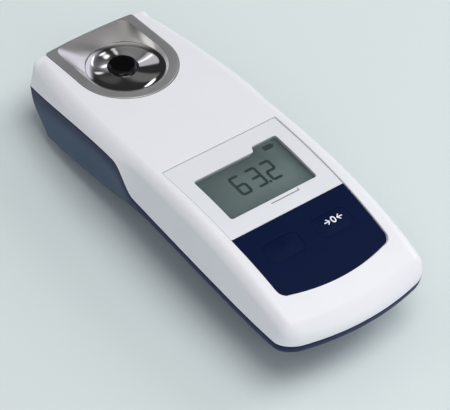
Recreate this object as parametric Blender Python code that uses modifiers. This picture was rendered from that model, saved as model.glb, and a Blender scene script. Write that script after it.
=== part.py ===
"""Hand-held digital refractometer: housing, prism stage, display, keys, optics and battery bay.

Metres, +Z up. The instrument lies on its flat underside at z = 0, keypad end toward -Y and
prism stage toward +Y, with its length and width centred on the origin.
"""
import math

import bmesh
import bpy
import numpy as np
from mathutils import Vector

# overall body
BODY_LENGTH = 0.132
BODY_WIDTH = 0.055
HULL_DEPTH = 0.014          # underside to the lower edge of the housing lip
CREST_RISE = 0.01543        # lip edge to the highest line of the top face
WIDEST_SHARE = 0.19697        # near end to the widest place, of the length
FAR_TAPER = 0.00229
FAR_ROUNDING = 0.00284
NEAR_TAPER = 0.00083
CREST_SHARE = 0.40152         # near end to the crest, of the length
NEAR_FALL = 0.00808
FAR_FALL = 0.00719
NEAR_BOW = 0.0045
FAR_BOW = 0.00196
NEAR_CORNER = 0.0062
FAR_CORNER = 0.0036
LEAST_CORNER = 0.0008

# top housing
WALL = 0.0019
ROOF = 0.0018
SIDE_FILLET = 0.00441
NEAR_FILLET = 0.0047
FAR_FILLET = 0.0007
SIDE_LEAN = 0.00055
NEAR_LEAN = 0.0009
FAR_LEAN = 0.00004
INNER_FILLET = 0.0026
SEAM_GAP = 0.0003
FILLET_ROOM_SHARE = 0.9     # most of the wall's height that a fillet may take
INNER_ROOM_SHARE = 0.85

# seam between the two housings: low near the keypad, an S up to the grip, then down to the end
SEAM_NEAR_RISE = 0.003
SEAM_PEAK_RISE = 0.0096
SEAM_FAR_FALL = 0.0101
CLIMB_START_SHARE = 0.55455     # near end to where the seam's S begins and ends, of the length
CLIMB_END_SHARE = 0.63485
GRIP_START_SHARE = 0.49924    # far end to where the grip begins and is full, of the length
GRIP_FULL_SHARE = 0.26212
GRIP_FADE_SHARE = 0.27        # far end to where the grip's hollow starts to fade
EDGE_DROP = 0.0124          # fall of the grip's lower edge from mid-length to the far end
FAR_RAKE = 0.012            # how far the far end is drawn in, like a bow, at its lower edge

# bottom housing
FLOOR = 0.0016
GRIP_HOLLOW = 0.0018
LIP_OVERHANG = 0.0023
UNDERSIDE_ROOM = 0.00198    # between the battery tray and the hull's narrowest outline

# clearances
SEAT_GAP = 0.0003
CUT_OVERRUN = 0.004
WELD_DISTANCE = 1e-7

# prism stage
STAGE_FROM_FAR = 0.01857    # far end to the centre of the stage's round end
STAGE_HALF = 0.01595
STAGE_SLOPE = -0.105
STAGE_THICK = 0.001
STAGE_BLOCK_INSET = 0.0021
STAGE_BLOCK_DEPTH = 0.0029
STAGE_FAR_SETBACK = 0.0001
FUNNEL_HALF = 0.0131
FUNNEL_FAR = 0.0176
DISH_RADIUS = 0.0119
DISH_OFFSET = -0.0005
DISH_RIM_DEPTH = 0.00085
DISH_RIM_TILT = 0.00035     # how much deeper at the far side, and shallower at the near side
DISH_WALL_RADIUS = 0.0104
DISH_WALL_DEPTH = 0.0013
DISH_WALL_TILT = 0.00028
DISH_FLOOR_RADIUS = 0.0078
DISH_FLOOR_DEPTH = 0.0015
DISH_FLOOR_TILT = 0.00014
DISH_DEPTH = 0.001
PRISM_OFFSET = 0.0009
PRISM_RADIUS = 0.00435
PRISM_TOP_DEPTH = 0.0008
PRISM_COLLAR = 0.0032
PRISM_HEIGHT = 0.0056
SEAL_WIDTH = 0.0014
SEAL_THICK = 0.0007

# recessed front panel with the display opening and the keypad
PANEL_RECESS = 0.00075
PANEL_TOP_SHARE = 0.52121     # places from the near end, of the length
PANEL_TOP_HALF = 0.0209
SHEET_THICK = 0.0004
KEYPAD_TOP_SHARE = 0.28030
KEYPAD_TOP_INSET = 0.0003
KEYPAD_BOTTOM_SHARE = 0.10606
KEYPAD_BOTTOM_INSET = 0.0008
KEYPAD_BOW = 0.0022
KEYPAD_CORNER = 0.0032
DISPLAY_LOW_SHARE = 0.32652
DISPLAY_HIGH_SHARE = 0.45909
DISPLAY_TAB_RISE = 0.0024
DISPLAY_HALF = 0.01595
DISPLAY_TAB_LEFT = 0.0064
DISPLAY_TAB_SLANT = 0.0009
DISPLAY_CORNER = 0.0006
WINDOW_THICK = 0.001
WINDOW_TOP_DROP = 0.0004
GLASS_THICK = 0.003
FRAME_WALL = 0.0014
FRAME_DROP = 0.0023         # display frame's top edge below the crest
ZEBRA_WIDTH = 0.0018
ZEBRA_SHORTER = 0.003

# keys
KEY_X_SHARE = 0.42584         # of the keypad's half width
KEY_SHARE = 0.20758           # near end to the keys, of the length
KEY_WIDTH = 0.0122
KEY_HEIGHT = 0.007
KEY_CORNER = 0.0022
KEY_PROUD = 0.00025
KEY_UNDER_GAP = 0.00035
KEY_TRAVEL = 0.00025
STEM_RADIUS = 0.0015
STEM_CLEARANCE = 0.0004
SWITCH_WIDTH = 0.006
SWITCH_HEIGHT = 0.0034
SWITCH_PLUNGER_RADIUS = 0.0014
SWITCH_WELL = 0.0012

# main board
BOARD_RISE = 0.0052         # lip edge to the board's underside
BOARD_THICK = 0.001
BOARD_HALF = 0.0185
BOARD_NEAR_ROOM = 0.0005    # between the screw bosses and the board's ends
BOARD_FAR_ROOM = 0.0031
BOARD_POST_RADIUS = 0.0015
BOARD_POST_X = 0.0095
CHIP_WIDTH = 0.009
CHIP_HEIGHT = 0.0012
CHIP_ROOM = 0.001           # between the processor and the flex cable's run

# battery bay: two AAA cells side by side
CELL_RADIUS = 0.00525
CELL_LENGTH = 0.0445
CELL_NUB_RADIUS = 0.0019
CELL_NUB_LENGTH = 0.0008
CELL_PITCH = 0.0112
CELL_ABOVE_COVER = 0.00075
BAY_BOSS_ROOM = 0.00095     # between the near screw bosses and the battery tray
BAY_SIDE_CLEARANCE = 0.00035
BAY_END_CLEARANCE = 0.0023
TRAY_WALL = 0.0011
TRAY_ROOF = 0.0012
LATCH_BLOCK_HALF = 0.0045
LATCH_BLOCK_LENGTH = 0.0072
LATCH_BLOCK_HEIGHT = 0.008
CONTACT_THICK = 0.0004
CONTACT_WIDTH = 0.006
CONTACT_BULGE = 0.0011
COVER_HALF = 0.0112
COVER_CORNER = 0.002
COVER_END_MARGIN = 0.0014
COVER_RECESS = 0.0001
GASKET_THICK = 0.0007
GASKET_WIDTH = 0.0008
COIN_HEAD_RADIUS = 0.0032
COIN_HEAD_HEIGHT = 0.0009
COIN_SLOT_WIDTH = 0.0009
COIN_SLOT_DEPTH = 0.0005
COIN_SHANK_RADIUS = 0.0014
COIN_SHANK_LENGTH = 0.006

# housing screws
SCREW_NEAR_X = 0.0095
SCREW_NEAR_SHARE = 0.14015
SCREW_FAR_X = 0.0145
SCREW_FAR_FROM_FAR = 0.039
BOSS_RADIUS = 0.0029
SCREW_HEAD_RADIUS = 0.0018
SCREW_HEAD_HEIGHT = 0.0014
SCREW_SHANK_RADIUS = 0.001
SCREW_CLEARANCE = 0.0003
BOSS_JOINT_RISE = 0.0033    # lip edge to where upper and lower bosses meet
SCREW_SHELF = 0.0032        # boss material left under the joint for the head to pull on
SCREW_BITE = 0.003          # shank length inside the upper boss
DRIVE_RADIUS = 0.0007
DRIVE_DEPTH = 0.0008

# housing seal, just inside the seam
SEAL_BAND_INSET = 0.003
SEAL_BAND_WIDTH = 0.0008
SEAL_BAND_HEIGHT = 0.001

# optics under the stage
CHASSIS_HALF = 0.0093
CHASSIS_NEAR = 0.0112       # from the stage centre toward the keypad
CHASSIS_FAR = 0.0098
CHASSIS_WALL = 0.0014
CHASSIS_CEILING = 0.0016
CHASSIS_SKIRT = 0.0007      # below the sensor board
LENS_RADIUS = 0.0024
LENS_THICK = 0.0018
LENS_BULGE = 0.0005
LENS_RISE = -0.0015
LENS_WALL_OFFSET = 0.003
LED_RADIUS = 0.0015
LED_LENGTH = 0.0036
LED_RISE = 0.0018
BOARD_SMALL_THICK = 0.0008
BOARD_SMALL_HALF = 0.0065
SENSOR_HALF = 0.0042
SENSOR_HEIGHT = 0.0026
SENSOR_THICK = 0.001
SENSOR_BOARD_HALF_HEIGHT = 0.0042
THERMISTOR_WIDTH = 0.0018
THERMISTOR_LENGTH = 0.003
THERMISTOR_HEIGHT = 0.0009
FLEX_WIDTH = 0.008
FLEX_THICK = 0.0002
FLEX_LANDING = 0.004

# how finely the lofted housings are divided
NEAR_POINTS = 5
CORNER_POINTS = 5
NEAR_SIDE_POINTS = 9
CLIMB_POINTS = 6
FAR_SIDE_POINTS = 8
FAR_CORNER_POINTS = 3
FAR_POINTS = 5
ROUND_SIDES = 28
SMALL_ROUND_SIDES = 16
DISH_SIDES = 48

# worked out from the sizes above
HALF_LENGTH = BODY_LENGTH / 2
WIDEST_FROM_NEAR = BODY_LENGTH * WIDEST_SHARE
CREST_FROM_NEAR = BODY_LENGTH * CREST_SHARE
GRIP_START_FROM_FAR = BODY_LENGTH * GRIP_START_SHARE
GRIP_FULL_FROM_FAR = BODY_LENGTH * GRIP_FULL_SHARE
GRIP_FADE_FROM_FAR = BODY_LENGTH * GRIP_FADE_SHARE
CLIMB_START_Y = BODY_LENGTH * CLIMB_START_SHARE - HALF_LENGTH
CLIMB_END_Y = BODY_LENGTH * CLIMB_END_SHARE - HALF_LENGTH
SIDE_POINTS = NEAR_SIDE_POINTS + CLIMB_POINTS + FAR_SIDE_POINTS
HALF_WIDTH = BODY_WIDTH / 2
LIP_Z = HULL_DEPTH
CREST_Z = LIP_Z + CREST_RISE
WIDEST_Y = WIDEST_FROM_NEAR - HALF_LENGTH
CREST_Y = CREST_FROM_NEAR - HALF_LENGTH
STAGE_Y = HALF_LENGTH - STAGE_FROM_FAR
PANEL_TOP_Y = BODY_LENGTH * PANEL_TOP_SHARE - HALF_LENGTH
KEYPAD_TOP_Y = BODY_LENGTH * KEYPAD_TOP_SHARE - HALF_LENGTH
KEYPAD_BOTTOM_Y = BODY_LENGTH * KEYPAD_BOTTOM_SHARE - HALF_LENGTH
KEYPAD_TOP_HALF = PANEL_TOP_HALF - KEYPAD_TOP_INSET
KEYPAD_BOTTOM_HALF = PANEL_TOP_HALF - KEYPAD_BOTTOM_INSET
DISPLAY_LOW_Y = BODY_LENGTH * DISPLAY_LOW_SHARE - HALF_LENGTH
DISPLAY_HIGH_Y = BODY_LENGTH * DISPLAY_HIGH_SHARE - HALF_LENGTH
DISPLAY_MID_Y = (DISPLAY_LOW_Y + DISPLAY_HIGH_Y) / 2
KEY_X = PANEL_TOP_HALF * KEY_X_SHARE
KEY_Y = BODY_LENGTH * KEY_SHARE - HALF_LENGTH
SCREW_NEAR_Y = BODY_LENGTH * SCREW_NEAR_SHARE - HALF_LENGTH
SCREW_FAR_Y = HALF_LENGTH - SCREW_FAR_FROM_FAR
BOARD_Z = LIP_Z + BOARD_RISE
BOARD_TOP_Z = BOARD_Z + BOARD_THICK
BOARD_NEAR_Y = SCREW_NEAR_Y + BOSS_RADIUS + BOARD_NEAR_ROOM
BOARD_FAR_Y = SCREW_FAR_Y - BOSS_RADIUS - BOARD_FAR_ROOM
BAY_NEAR_Y = SCREW_NEAR_Y + BOSS_RADIUS + BAY_BOSS_ROOM + TRAY_WALL
BAY_Y = BAY_NEAR_Y + BAY_END_CLEARANCE + CELL_LENGTH / 2
CELL_Z = FLOOR + CELL_ABOVE_COVER + CELL_RADIUS
BAY_HALF = CELL_PITCH / 2 + CELL_RADIUS + BAY_SIDE_CLEARANCE
HULL_NARROWING = HALF_WIDTH - LIP_OVERHANG - UNDERSIDE_ROOM - BAY_HALF - TRAY_WALL
BAY_FAR_Y = BAY_Y + CELL_LENGTH / 2 + BAY_END_CLEARANCE
TRAY_LOW_Z = FLOOR + SEAT_GAP
TRAY_CEILING_Z = CELL_Z + CELL_RADIUS + SEAT_GAP
TRAY_TOP_Z = TRAY_CEILING_Z + TRAY_ROOF
LATCH_FAR_Y = BAY_FAR_Y + TRAY_WALL + LATCH_BLOCK_LENGTH
COIN_Y = LATCH_FAR_Y - LATCH_BLOCK_LENGTH / 2
COVER_NEAR_Y = BAY_NEAR_Y + COVER_END_MARGIN / 2
COVER_FAR_Y = LATCH_FAR_Y + COVER_END_MARGIN
WINDOW_TOP_Z = CREST_Z - WINDOW_TOP_DROP
WINDOW_LOW_Z = WINDOW_TOP_Z - WINDOW_THICK
GLASS_TOP_Z = WINDOW_LOW_Z - SEAT_GAP
BOSS_JOINT_Z = LIP_Z + BOSS_JOINT_RISE
GLASS_LOW_Z = GLASS_TOP_Z - GLASS_THICK
FRAME_TOP_Z = CREST_Z - FRAME_DROP
FRAME_LOW_Z = BOARD_TOP_Z + SEAT_GAP


def clear_scene():
    """Empty the scene of objects and the collections of an earlier run."""
    for item in list(bpy.data.objects):
        bpy.data.objects.remove(item, do_unlink=True)
    for group in list(bpy.data.collections):
        bpy.data.collections.remove(group)


clear_scene()
part_group = bpy.data.collections.new("digital_refractometer")
cutter_group = bpy.data.collections.new("cutters")
bpy.context.scene.collection.children.link(part_group)
bpy.context.scene.collection.children.link(cutter_group)


def material(name, colour, roughness, metallic=0.0, coat=0.0):
    """A Principled material with the given look."""
    made = bpy.data.materials.new(name)
    made.use_nodes = True
    shader = made.node_tree.nodes["Principled BSDF"]
    shader.inputs["Base Color"].default_value = (*colour, 1.0)
    shader.inputs["Roughness"].default_value = roughness
    shader.inputs["Metallic"].default_value = metallic
    shader.inputs["Coat Weight"].default_value = coat
    return made


white_shell = material("white_shell", (0.82, 0.82, 0.85), 0.35)
blue_shell = material("blue_shell", (0.045, 0.07, 0.15), 0.45)
steel = material("stage_steel", (0.62, 0.61, 0.59), 0.18, 1.0)
dark_glass = material("prism_glass", (0.01, 0.01, 0.012), 0.04, 0.0, 1.0)
black_rubber = material("black_rubber", (0.02, 0.02, 0.022), 0.7)
black_plastic = material("black_plastic", (0.03, 0.03, 0.035), 0.5)
navy_film = material("navy_film", (0.008, 0.014, 0.06), 0.35)
label_film = material("label_film", (0.76, 0.77, 0.82), 0.4)
window_plastic = material("window_plastic", (0.3, 0.34, 0.34), 0.08)
display_glass = material("display_glass", (0.16, 0.2, 0.2), 0.2)
board_green = material("board_green", (0.03, 0.16, 0.07), 0.5)
pale_plastic = material("pale_plastic", (0.55, 0.56, 0.58), 0.5)
clear_lens = material("clear_lens", (0.75, 0.8, 0.85), 0.05)
amber_lamp = material("amber_lamp", (0.75, 0.42, 0.06), 0.15)
bright_metal = material("bright_metal", (0.7, 0.69, 0.66), 0.3, 1.0)
copper_film = material("copper_film", (0.45, 0.22, 0.08), 0.45)
cell_wrap = material("cell_wrap", (0.35, 0.36, 0.38), 0.4)


def half_width(y):
    """Half the body's width at a place along its length."""
    far = np.clip((y - WIDEST_Y) / (HALF_LENGTH - WIDEST_Y), 0, 1)
    near = np.clip((WIDEST_Y - y) / WIDEST_FROM_NEAR, 0, 1)
    return HALF_WIDTH - FAR_TAPER * far**1.5 - FAR_ROUNDING * far**6 - NEAR_TAPER * near**2


def top_z(y):
    """Height of the arched top face, level across the width."""
    near = np.clip((CREST_Y - y) / CREST_FROM_NEAR, 0, 1)
    far = np.clip((y - CREST_Y) / (HALF_LENGTH - CREST_Y), 0, 1)
    return CREST_Z - NEAR_FALL * near**2.27 - FAR_FALL * far**1.4


def grip_share(y):
    """0 in the near half, easing to 1 where the grip has its full height."""
    start = HALF_LENGTH - GRIP_START_FROM_FAR
    full = HALF_LENGTH - GRIP_FULL_FROM_FAR
    share = np.clip((y - start) / (full - start), 0, 1)
    return share * share * (3 - 2 * share)


def seam_z(y):
    """Height of the seam: level, then an S up over the grip, then falling to the far end."""
    climb = np.clip((y - CLIMB_START_Y) / (CLIMB_END_Y - CLIMB_START_Y), 0, 1)
    share = climb * climb * (3 - 2 * climb)
    past = np.clip((y - CLIMB_END_Y) / (HALF_LENGTH - CLIMB_END_Y), 0, 1)
    high = SEAM_PEAK_RISE - SEAM_FAR_FALL * past**1.5
    return LIP_Z + SEAM_NEAR_RISE * (1 - share) + high * share


def edge_z(y):
    """Height of the lower edge that runs round the bottom housing."""
    return LIP_Z - EDGE_DROP * np.clip(y / HALF_LENGTH, 0, 1)


class Half:
    """Right half of a plan outline from the near centre to the far centre."""

    def __init__(self, side_in, near_in, far_in, near_corner, far_corner):
        low = near_in - HALF_LENGTH
        high = HALF_LENGTH - far_in
        near_half = half_width(low + near_corner) - side_in
        far_half = half_width(high - far_corner) - side_in
        quarter = np.linspace(0, math.pi / 2, CORNER_POINTS + 1)[1:]
        far_quarter = np.linspace(0, math.pi / 2, FAR_CORNER_POINTS + 1)[1:]
        near_x = np.linspace(0, near_half - near_corner, NEAR_POINTS)
        side_y = np.concatenate([
            np.linspace(low + near_corner, CLIMB_START_Y, NEAR_SIDE_POINTS + 1)[1:],
            np.linspace(CLIMB_START_Y, CLIMB_END_Y, CLIMB_POINTS + 1)[1:],
            np.linspace(CLIMB_END_Y, high - far_corner, FAR_SIDE_POINTS + 1)[1:],
        ])
        far_x = np.linspace(far_half - far_corner, 0, FAR_POINTS)[1:]
        self.x = np.concatenate([
            near_x,
            near_half - near_corner * (1 - np.sin(quarter)),
            half_width(side_y) - side_in,
            far_half - far_corner * (1 - np.cos(far_quarter)),
            far_x,
        ])
        flat_y = np.concatenate([
            np.full(NEAR_POINTS, low),
            low + near_corner * (1 - np.cos(quarter)),
            side_y,
            high - far_corner * (1 - np.sin(far_quarter)),
            np.full(FAR_POINTS - 1, high),
        ])
        across = (self.x / HALF_WIDTH) ** 2
        near_end = np.clip(-flat_y / HALF_LENGTH, 0, 1) ** 6
        far_end = np.clip(flat_y / HALF_LENGTH, 0, 1) ** 6
        self.y = flat_y + NEAR_BOW * across * near_end - FAR_BOW * across * far_end
        self.near = np.concatenate([
            np.ones(NEAR_POINTS),
            np.cos(quarter) ** 2,
            np.zeros(SIDE_POINTS + FAR_CORNER_POINTS + FAR_POINTS - 1),
        ])
        self.far = np.concatenate([
            np.zeros(NEAR_POINTS + CORNER_POINTS + SIDE_POINTS),
            np.sin(far_quarter) ** 2,
            np.ones(FAR_POINTS - 1),
        ])
        self.side = 1 - self.near - self.far

    def blend(self, side, near, far):
        """Mix three values by the way each point faces."""
        return side * self.side + near * self.near + far * self.far


def plan_half(side_in, near_in, far_in):
    """Plan outline set in from the body's edge, with its corner radii shrunk to suit."""
    near_corner = max(NEAR_CORNER - (side_in + near_in) / 2, LEAST_CORNER)
    far_corner = max(FAR_CORNER - (side_in + far_in) / 2, LEAST_CORNER)
    return Half(side_in, near_in, far_in, near_corner, far_corner)


def whole_ring(half, z):
    """Close a half outline into a mirrored ring of points at the given heights."""
    right = np.column_stack([half.x, half.y, z])
    left = right[-2:0:-1] * [-1, 1, 1]
    return np.concatenate([right, left])


def new_object(name, vertices, faces, look, group=None):
    """Make an object from points and faces and put it in its collection."""
    mesh = bpy.data.meshes.new(name)
    mesh.from_pydata([tuple(map(float, point)) for point in vertices], [], faces)
    mesh.validate()
    obj = bpy.data.objects.new(name, mesh)
    if look is not None:
        mesh.materials.append(look)
    (group or part_group).objects.link(obj)
    return obj


def face_outward(obj):
    """Turn every face outward."""
    work = bmesh.new()
    work.from_mesh(obj.data)
    bmesh.ops.recalc_face_normals(work, faces=work.faces)
    work.to_mesh(obj.data)
    work.free()


def smooth(obj, angle=0.6):
    """Shade smooth with sharp edges past an angle in radians."""
    obj.data.shade_smooth()
    obj.data.set_sharp_from_angle(angle=angle)
    return obj


def loft(name, rings, look, group=None):
    """Skin a stack of equal rings and close both ends with strips across the middle."""
    count = len(rings[0])
    middle = count // 2
    points = np.concatenate(rings)
    faces = []
    for level in range(len(rings) - 1):
        base = level * count
        for i in range(count):
            j = (i + 1) % count
            faces.append((base + i, base + j, base + count + j, base + count + i))
    for base, order in ((0, -1), ((len(rings) - 1) * count, 1)):
        for i in range(middle):
            left = (count - i) % count
            corners = [base + i, base + i + 1, base + count - i - 1, base + left]
            if i == 0:
                corners = corners[:3]
            if i == middle - 1:
                corners = [base + i, base + middle, base + left]
            faces.append(tuple(corners[::order]))
    obj = new_object(name, points, faces, look, group)
    face_outward(obj)
    return obj


def box(name, x0, x1, y0, y1, z0, z1, look=None, group=None):
    """A box between two corners."""
    work = bmesh.new()
    bmesh.ops.create_cube(work, size=1)
    bmesh.ops.scale(work, vec=(x1 - x0, y1 - y0, z1 - z0), verts=work.verts)
    mesh = bpy.data.meshes.new(name)
    work.to_mesh(mesh)
    work.free()
    obj = bpy.data.objects.new(name, mesh)
    obj.location = ((x0 + x1) / 2, (y0 + y1) / 2, (z0 + z1) / 2)
    if look is not None:
        mesh.materials.append(look)
    (group or part_group).objects.link(obj)
    return obj


def rod(name, centre, radius, length, look=None, group=None, axis="Z", sides=ROUND_SIDES,
        far_radius=None):
    """A cylinder or cone round an axis through its centre."""
    work = bmesh.new()
    bmesh.ops.create_cone(work, cap_ends=True, segments=sides, radius1=radius,
                          radius2=radius if far_radius is None else far_radius, depth=length)
    mesh = bpy.data.meshes.new(name)
    work.to_mesh(mesh)
    work.free()
    obj = bpy.data.objects.new(name, mesh)
    obj.location = centre
    if axis == "Y":
        obj.rotation_euler = (-math.pi / 2, 0, 0)
    if look is not None:
        mesh.materials.append(look)
    (group or part_group).objects.link(obj)
    return smooth(obj)


def upright(name, x, y, z0, z1, radius, look=None, group=None, sides=ROUND_SIDES):
    """A vertical cylinder between two heights."""
    return rod(name, (x, y, (z0 + z1) / 2), radius, z1 - z0, look, group, "Z", sides)


def plate(name, outline, z0, z1, look=None, group=None):
    """A flat outline filled and given thickness between two heights."""
    curve = bpy.data.curves.new(name + "_outline", "CURVE")
    curve.dimensions = "2D"
    curve.fill_mode = "BOTH"
    curve.extrude = (z1 - z0) / 2
    line = curve.splines.new("POLY")
    line.points.add(len(outline) - 1)
    for point, (x, y) in zip(line.points, outline):
        point.co = (x, y, 0, 1)
    line.use_cyclic_u = True
    holder = bpy.data.objects.new(name + "_outline", curve)
    cutter_group.objects.link(holder)
    holder.location = (0, 0, (z0 + z1) / 2)
    bpy.context.view_layer.update()
    graph = bpy.context.evaluated_depsgraph_get()
    mesh = bpy.data.meshes.new_from_object(holder.evaluated_get(graph))
    mesh.name = name
    work = bmesh.new()
    work.from_mesh(mesh)
    bmesh.ops.remove_doubles(work, verts=work.verts, dist=WELD_DISTANCE)
    bmesh.ops.recalc_face_normals(work, faces=work.faces)
    work.to_mesh(mesh)
    work.free()
    obj = bpy.data.objects.new(name, mesh)
    obj.matrix_world = holder.matrix_world.copy()
    bpy.data.objects.remove(holder, do_unlink=True)
    mesh.materials.clear()
    if look is not None:
        mesh.materials.append(look)
    (group or part_group).objects.link(obj)
    return obj


def arched_slab(name, half, low_y, high_y, high_drop, low_drop, look=None, group=None):
    """A slab that follows the arched top face between two depths under it."""
    stations = np.linspace(low_y, high_y, 13)
    rings = []
    for y in stations:
        high = top_z(y) - high_drop
        low = top_z(y) - low_drop
        rings.append(np.array([[-half, y, low], [half, y, low], [half, y, high], [-half, y, high]]))
    points = np.concatenate(rings)
    faces = [(3, 2, 1, 0)]
    for k in range(len(stations) - 1):
        base = 4 * k
        for i in range(4):
            j = (i + 1) % 4
            faces.append((base + i, base + j, base + 4 + j, base + 4 + i))
    last = 4 * (len(stations) - 1)
    faces.append((last, last + 1, last + 2, last + 3))
    obj = new_object(name, points, faces, look, group)
    face_outward(obj)
    return obj


def operate(obj, other, kind):
    """Boolean one object with another, which is kept aside as a guide."""
    for group in list(other.users_collection):
        group.objects.unlink(other)
    cutter_group.objects.link(other)
    other.hide_render = True
    other.display_type = "WIRE"
    step = obj.modifiers.new(kind.lower(), "BOOLEAN")
    step.operation = kind
    step.solver = "EXACT"
    step.object = other
    return obj


def cut(obj, other):
    """Take another shape away."""
    return operate(obj, other, "DIFFERENCE")


def join(obj, other):
    """Add another shape."""
    return operate(obj, other, "UNION")


def keep_inside(obj, other):
    """Keep only what lies inside another shape."""
    return operate(obj, other, "INTERSECT")


def rounded_polygon(corners, radius, steps=4):
    """Round each corner of a polygon by an arc that touches both its sides."""
    points = []
    count = len(corners)
    for i in range(count):
        here = Vector(corners[i])
        back = (Vector(corners[i - 1]) - here).normalized()
        ahead = (Vector(corners[(i + 1) % count]) - here).normalized()
        half_angle = back.angle(ahead) / 2
        reach = radius / math.tan(half_angle)
        centre = here + (back + ahead).normalized() * (radius / math.sin(half_angle))
        start = here + back * reach - centre
        end = here + ahead * reach - centre
        turn = start.angle_signed(end)
        for k in range(steps + 1):
            angle = -turn * k / steps
            swung = Vector((
                start.x * math.cos(angle) - start.y * math.sin(angle),
                start.x * math.sin(angle) + start.y * math.cos(angle),
            ))
            points.append(tuple(centre + swung))
    return points


def rectangle(half, low_y, high_y, corner, middle_x=0):
    """A rectangle with rounded corners, centred at an x."""
    return rounded_polygon([
        (middle_x - half, low_y),
        (middle_x + half, low_y),
        (middle_x + half, high_y),
        (middle_x - half, high_y),
    ], corner)


def stage_frame(obj):
    """Set an object modelled about the stage's centre into the tilted stage plane."""
    obj.location = (0, STAGE_Y, stage_plane_z(STAGE_Y))
    obj.rotation_euler = (math.atan(STAGE_SLOPE), 0, 0)
    return obj


def stage_plane_z(y):
    """Height of the stage's flat border."""
    near_edge = STAGE_Y - STAGE_HALF
    return top_z(near_edge) + STAGE_SLOPE * (y - near_edge)


def stage_outline(grow, far):
    """Round toward the keypad, straight-sided and bowed at the far end."""
    half = STAGE_HALF + grow
    arc = np.linspace(math.pi, 2 * math.pi, 33)
    points = [(half * math.cos(a), half * math.sin(a)) for a in arc]
    for share in np.linspace(1, -1, 9):
        x = half * share
        points.append((x, far - FAR_BOW * (x / HALF_WIDTH) ** 2))
    return points


# top housing


def top_ring(side_in, near_in, far_in, drops, share):
    """One outer ring of the top housing: set in, and let down from the top face."""
    half = plan_half(side_in, near_in, far_in)
    top = top_z(half.y)
    low = seam_z(half.y) + SEAM_GAP / 2
    side_drop, near_drop, far_drop = drops
    drop = half.blend(side_drop, near_drop, far_drop)
    room = (top - low) * share
    return whole_ring(half, top - np.minimum(drop, room))


def make_top_housing():
    """White upper shell with the stage pocket, panel recess, display opening and bosses."""
    rings = []
    for turn in np.linspace(0, math.pi / 2, 6):
        sink = 1 - math.cos(turn)
        inward = 1 - math.sin(turn)
        rings.append(top_ring(
            SIDE_LEAN + SIDE_FILLET * inward,
            NEAR_LEAN + NEAR_FILLET * inward,
            FAR_LEAN + FAR_FILLET * inward,
            (SIDE_FILLET * sink, NEAR_FILLET * sink, FAR_FILLET * sink),
            sink * FILLET_ROOM_SHARE,
        ))
    rim = plan_half(0, 0, 0)
    rings.append(whole_ring(rim, seam_z(rim.y) + SEAM_GAP / 2))
    inner = plan_half(WALL, WALL, WALL)
    rings.append(whole_ring(inner, seam_z(inner.y) + SEAM_GAP / 2))
    for turn in np.linspace(math.pi / 2, 0, 4):
        sink = 1 - math.cos(turn)
        inward = 1 - math.sin(turn)
        half = plan_half(
            WALL + SIDE_LEAN + INNER_FILLET * inward,
            WALL + NEAR_FILLET / 2 + INNER_FILLET * inward,
            WALL + FAR_LEAN + FAR_FILLET * inward,
        )
        ceiling = top_z(half.y) - ROOF
        room = (ceiling - seam_z(half.y) - SEAM_GAP / 2) * INNER_ROOM_SHARE
        drop = np.minimum(INNER_FILLET, room) * sink
        rings.append(whole_ring(half, ceiling - drop))
    shell = loft("top_housing", rings, white_shell)
    for number, (x, y) in enumerate(screw_places()):
        join(shell, upright(f"top_boss_{number}", x, y, BOSS_JOINT_Z + SEAM_GAP / 2,
                            top_z(y) - ROOF / 2, BOSS_RADIUS))
    pocket = plate("stage_pocket", stage_outline(SEAT_GAP, HALF_LENGTH - STAGE_Y + CUT_OVERRUN),
                   -STAGE_THICK - SEAT_GAP, CUT_OVERRUN)
    cut(shell, stage_frame(pocket))
    well = plate("stage_well", stage_outline(
        SEAT_GAP - STAGE_BLOCK_INSET, stage_block_far() + SEAT_GAP), -CUT_OVERRUN, CUT_OVERRUN)
    cut(shell, stage_frame(well))
    recess = arched_slab("panel_recess", PANEL_TOP_HALF + CUT_OVERRUN,
                         KEYPAD_BOTTOM_Y - KEYPAD_BOW - CUT_OVERRUN, PANEL_TOP_Y + CUT_OVERRUN,
                         -CUT_OVERRUN, PANEL_RECESS)
    keep_inside(recess, plate("panel_shape", panel_outline(0), LIP_Z, CREST_Z + 2 * CUT_OVERRUN))
    cut(shell, recess)
    cut(shell, plate("display_opening", display_outline(-SEAT_GAP),
                     FRAME_TOP_Z - CUT_OVERRUN, CREST_Z + CUT_OVERRUN))
    for side in (-1, 1):
        cut(shell, upright(f"stem_hole_{side + 1}", side * KEY_X, KEY_Y,
                           LIP_Z + BOARD_RISE, CREST_Z + CUT_OVERRUN,
                           STEM_RADIUS + STEM_CLEARANCE, sides=SMALL_ROUND_SIDES))
    for number, (x, y) in enumerate(screw_places()):
        cut(shell, upright(f"pilot_{number}", x, y, BOSS_JOINT_Z - CUT_OVERRUN,
                           BOSS_JOINT_Z + SCREW_BITE + 2 * SCREW_CLEARANCE,
                           SCREW_SHANK_RADIUS + SCREW_CLEARANCE, sides=SMALL_ROUND_SIDES))
    smooth(shell)


def screw_places():
    """Plan positions of the four housing screws."""
    return [(-SCREW_NEAR_X, SCREW_NEAR_Y), (SCREW_NEAR_X, SCREW_NEAR_Y),
            (-SCREW_FAR_X, SCREW_FAR_Y), (SCREW_FAR_X, SCREW_FAR_Y)]


# bottom housing


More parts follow.
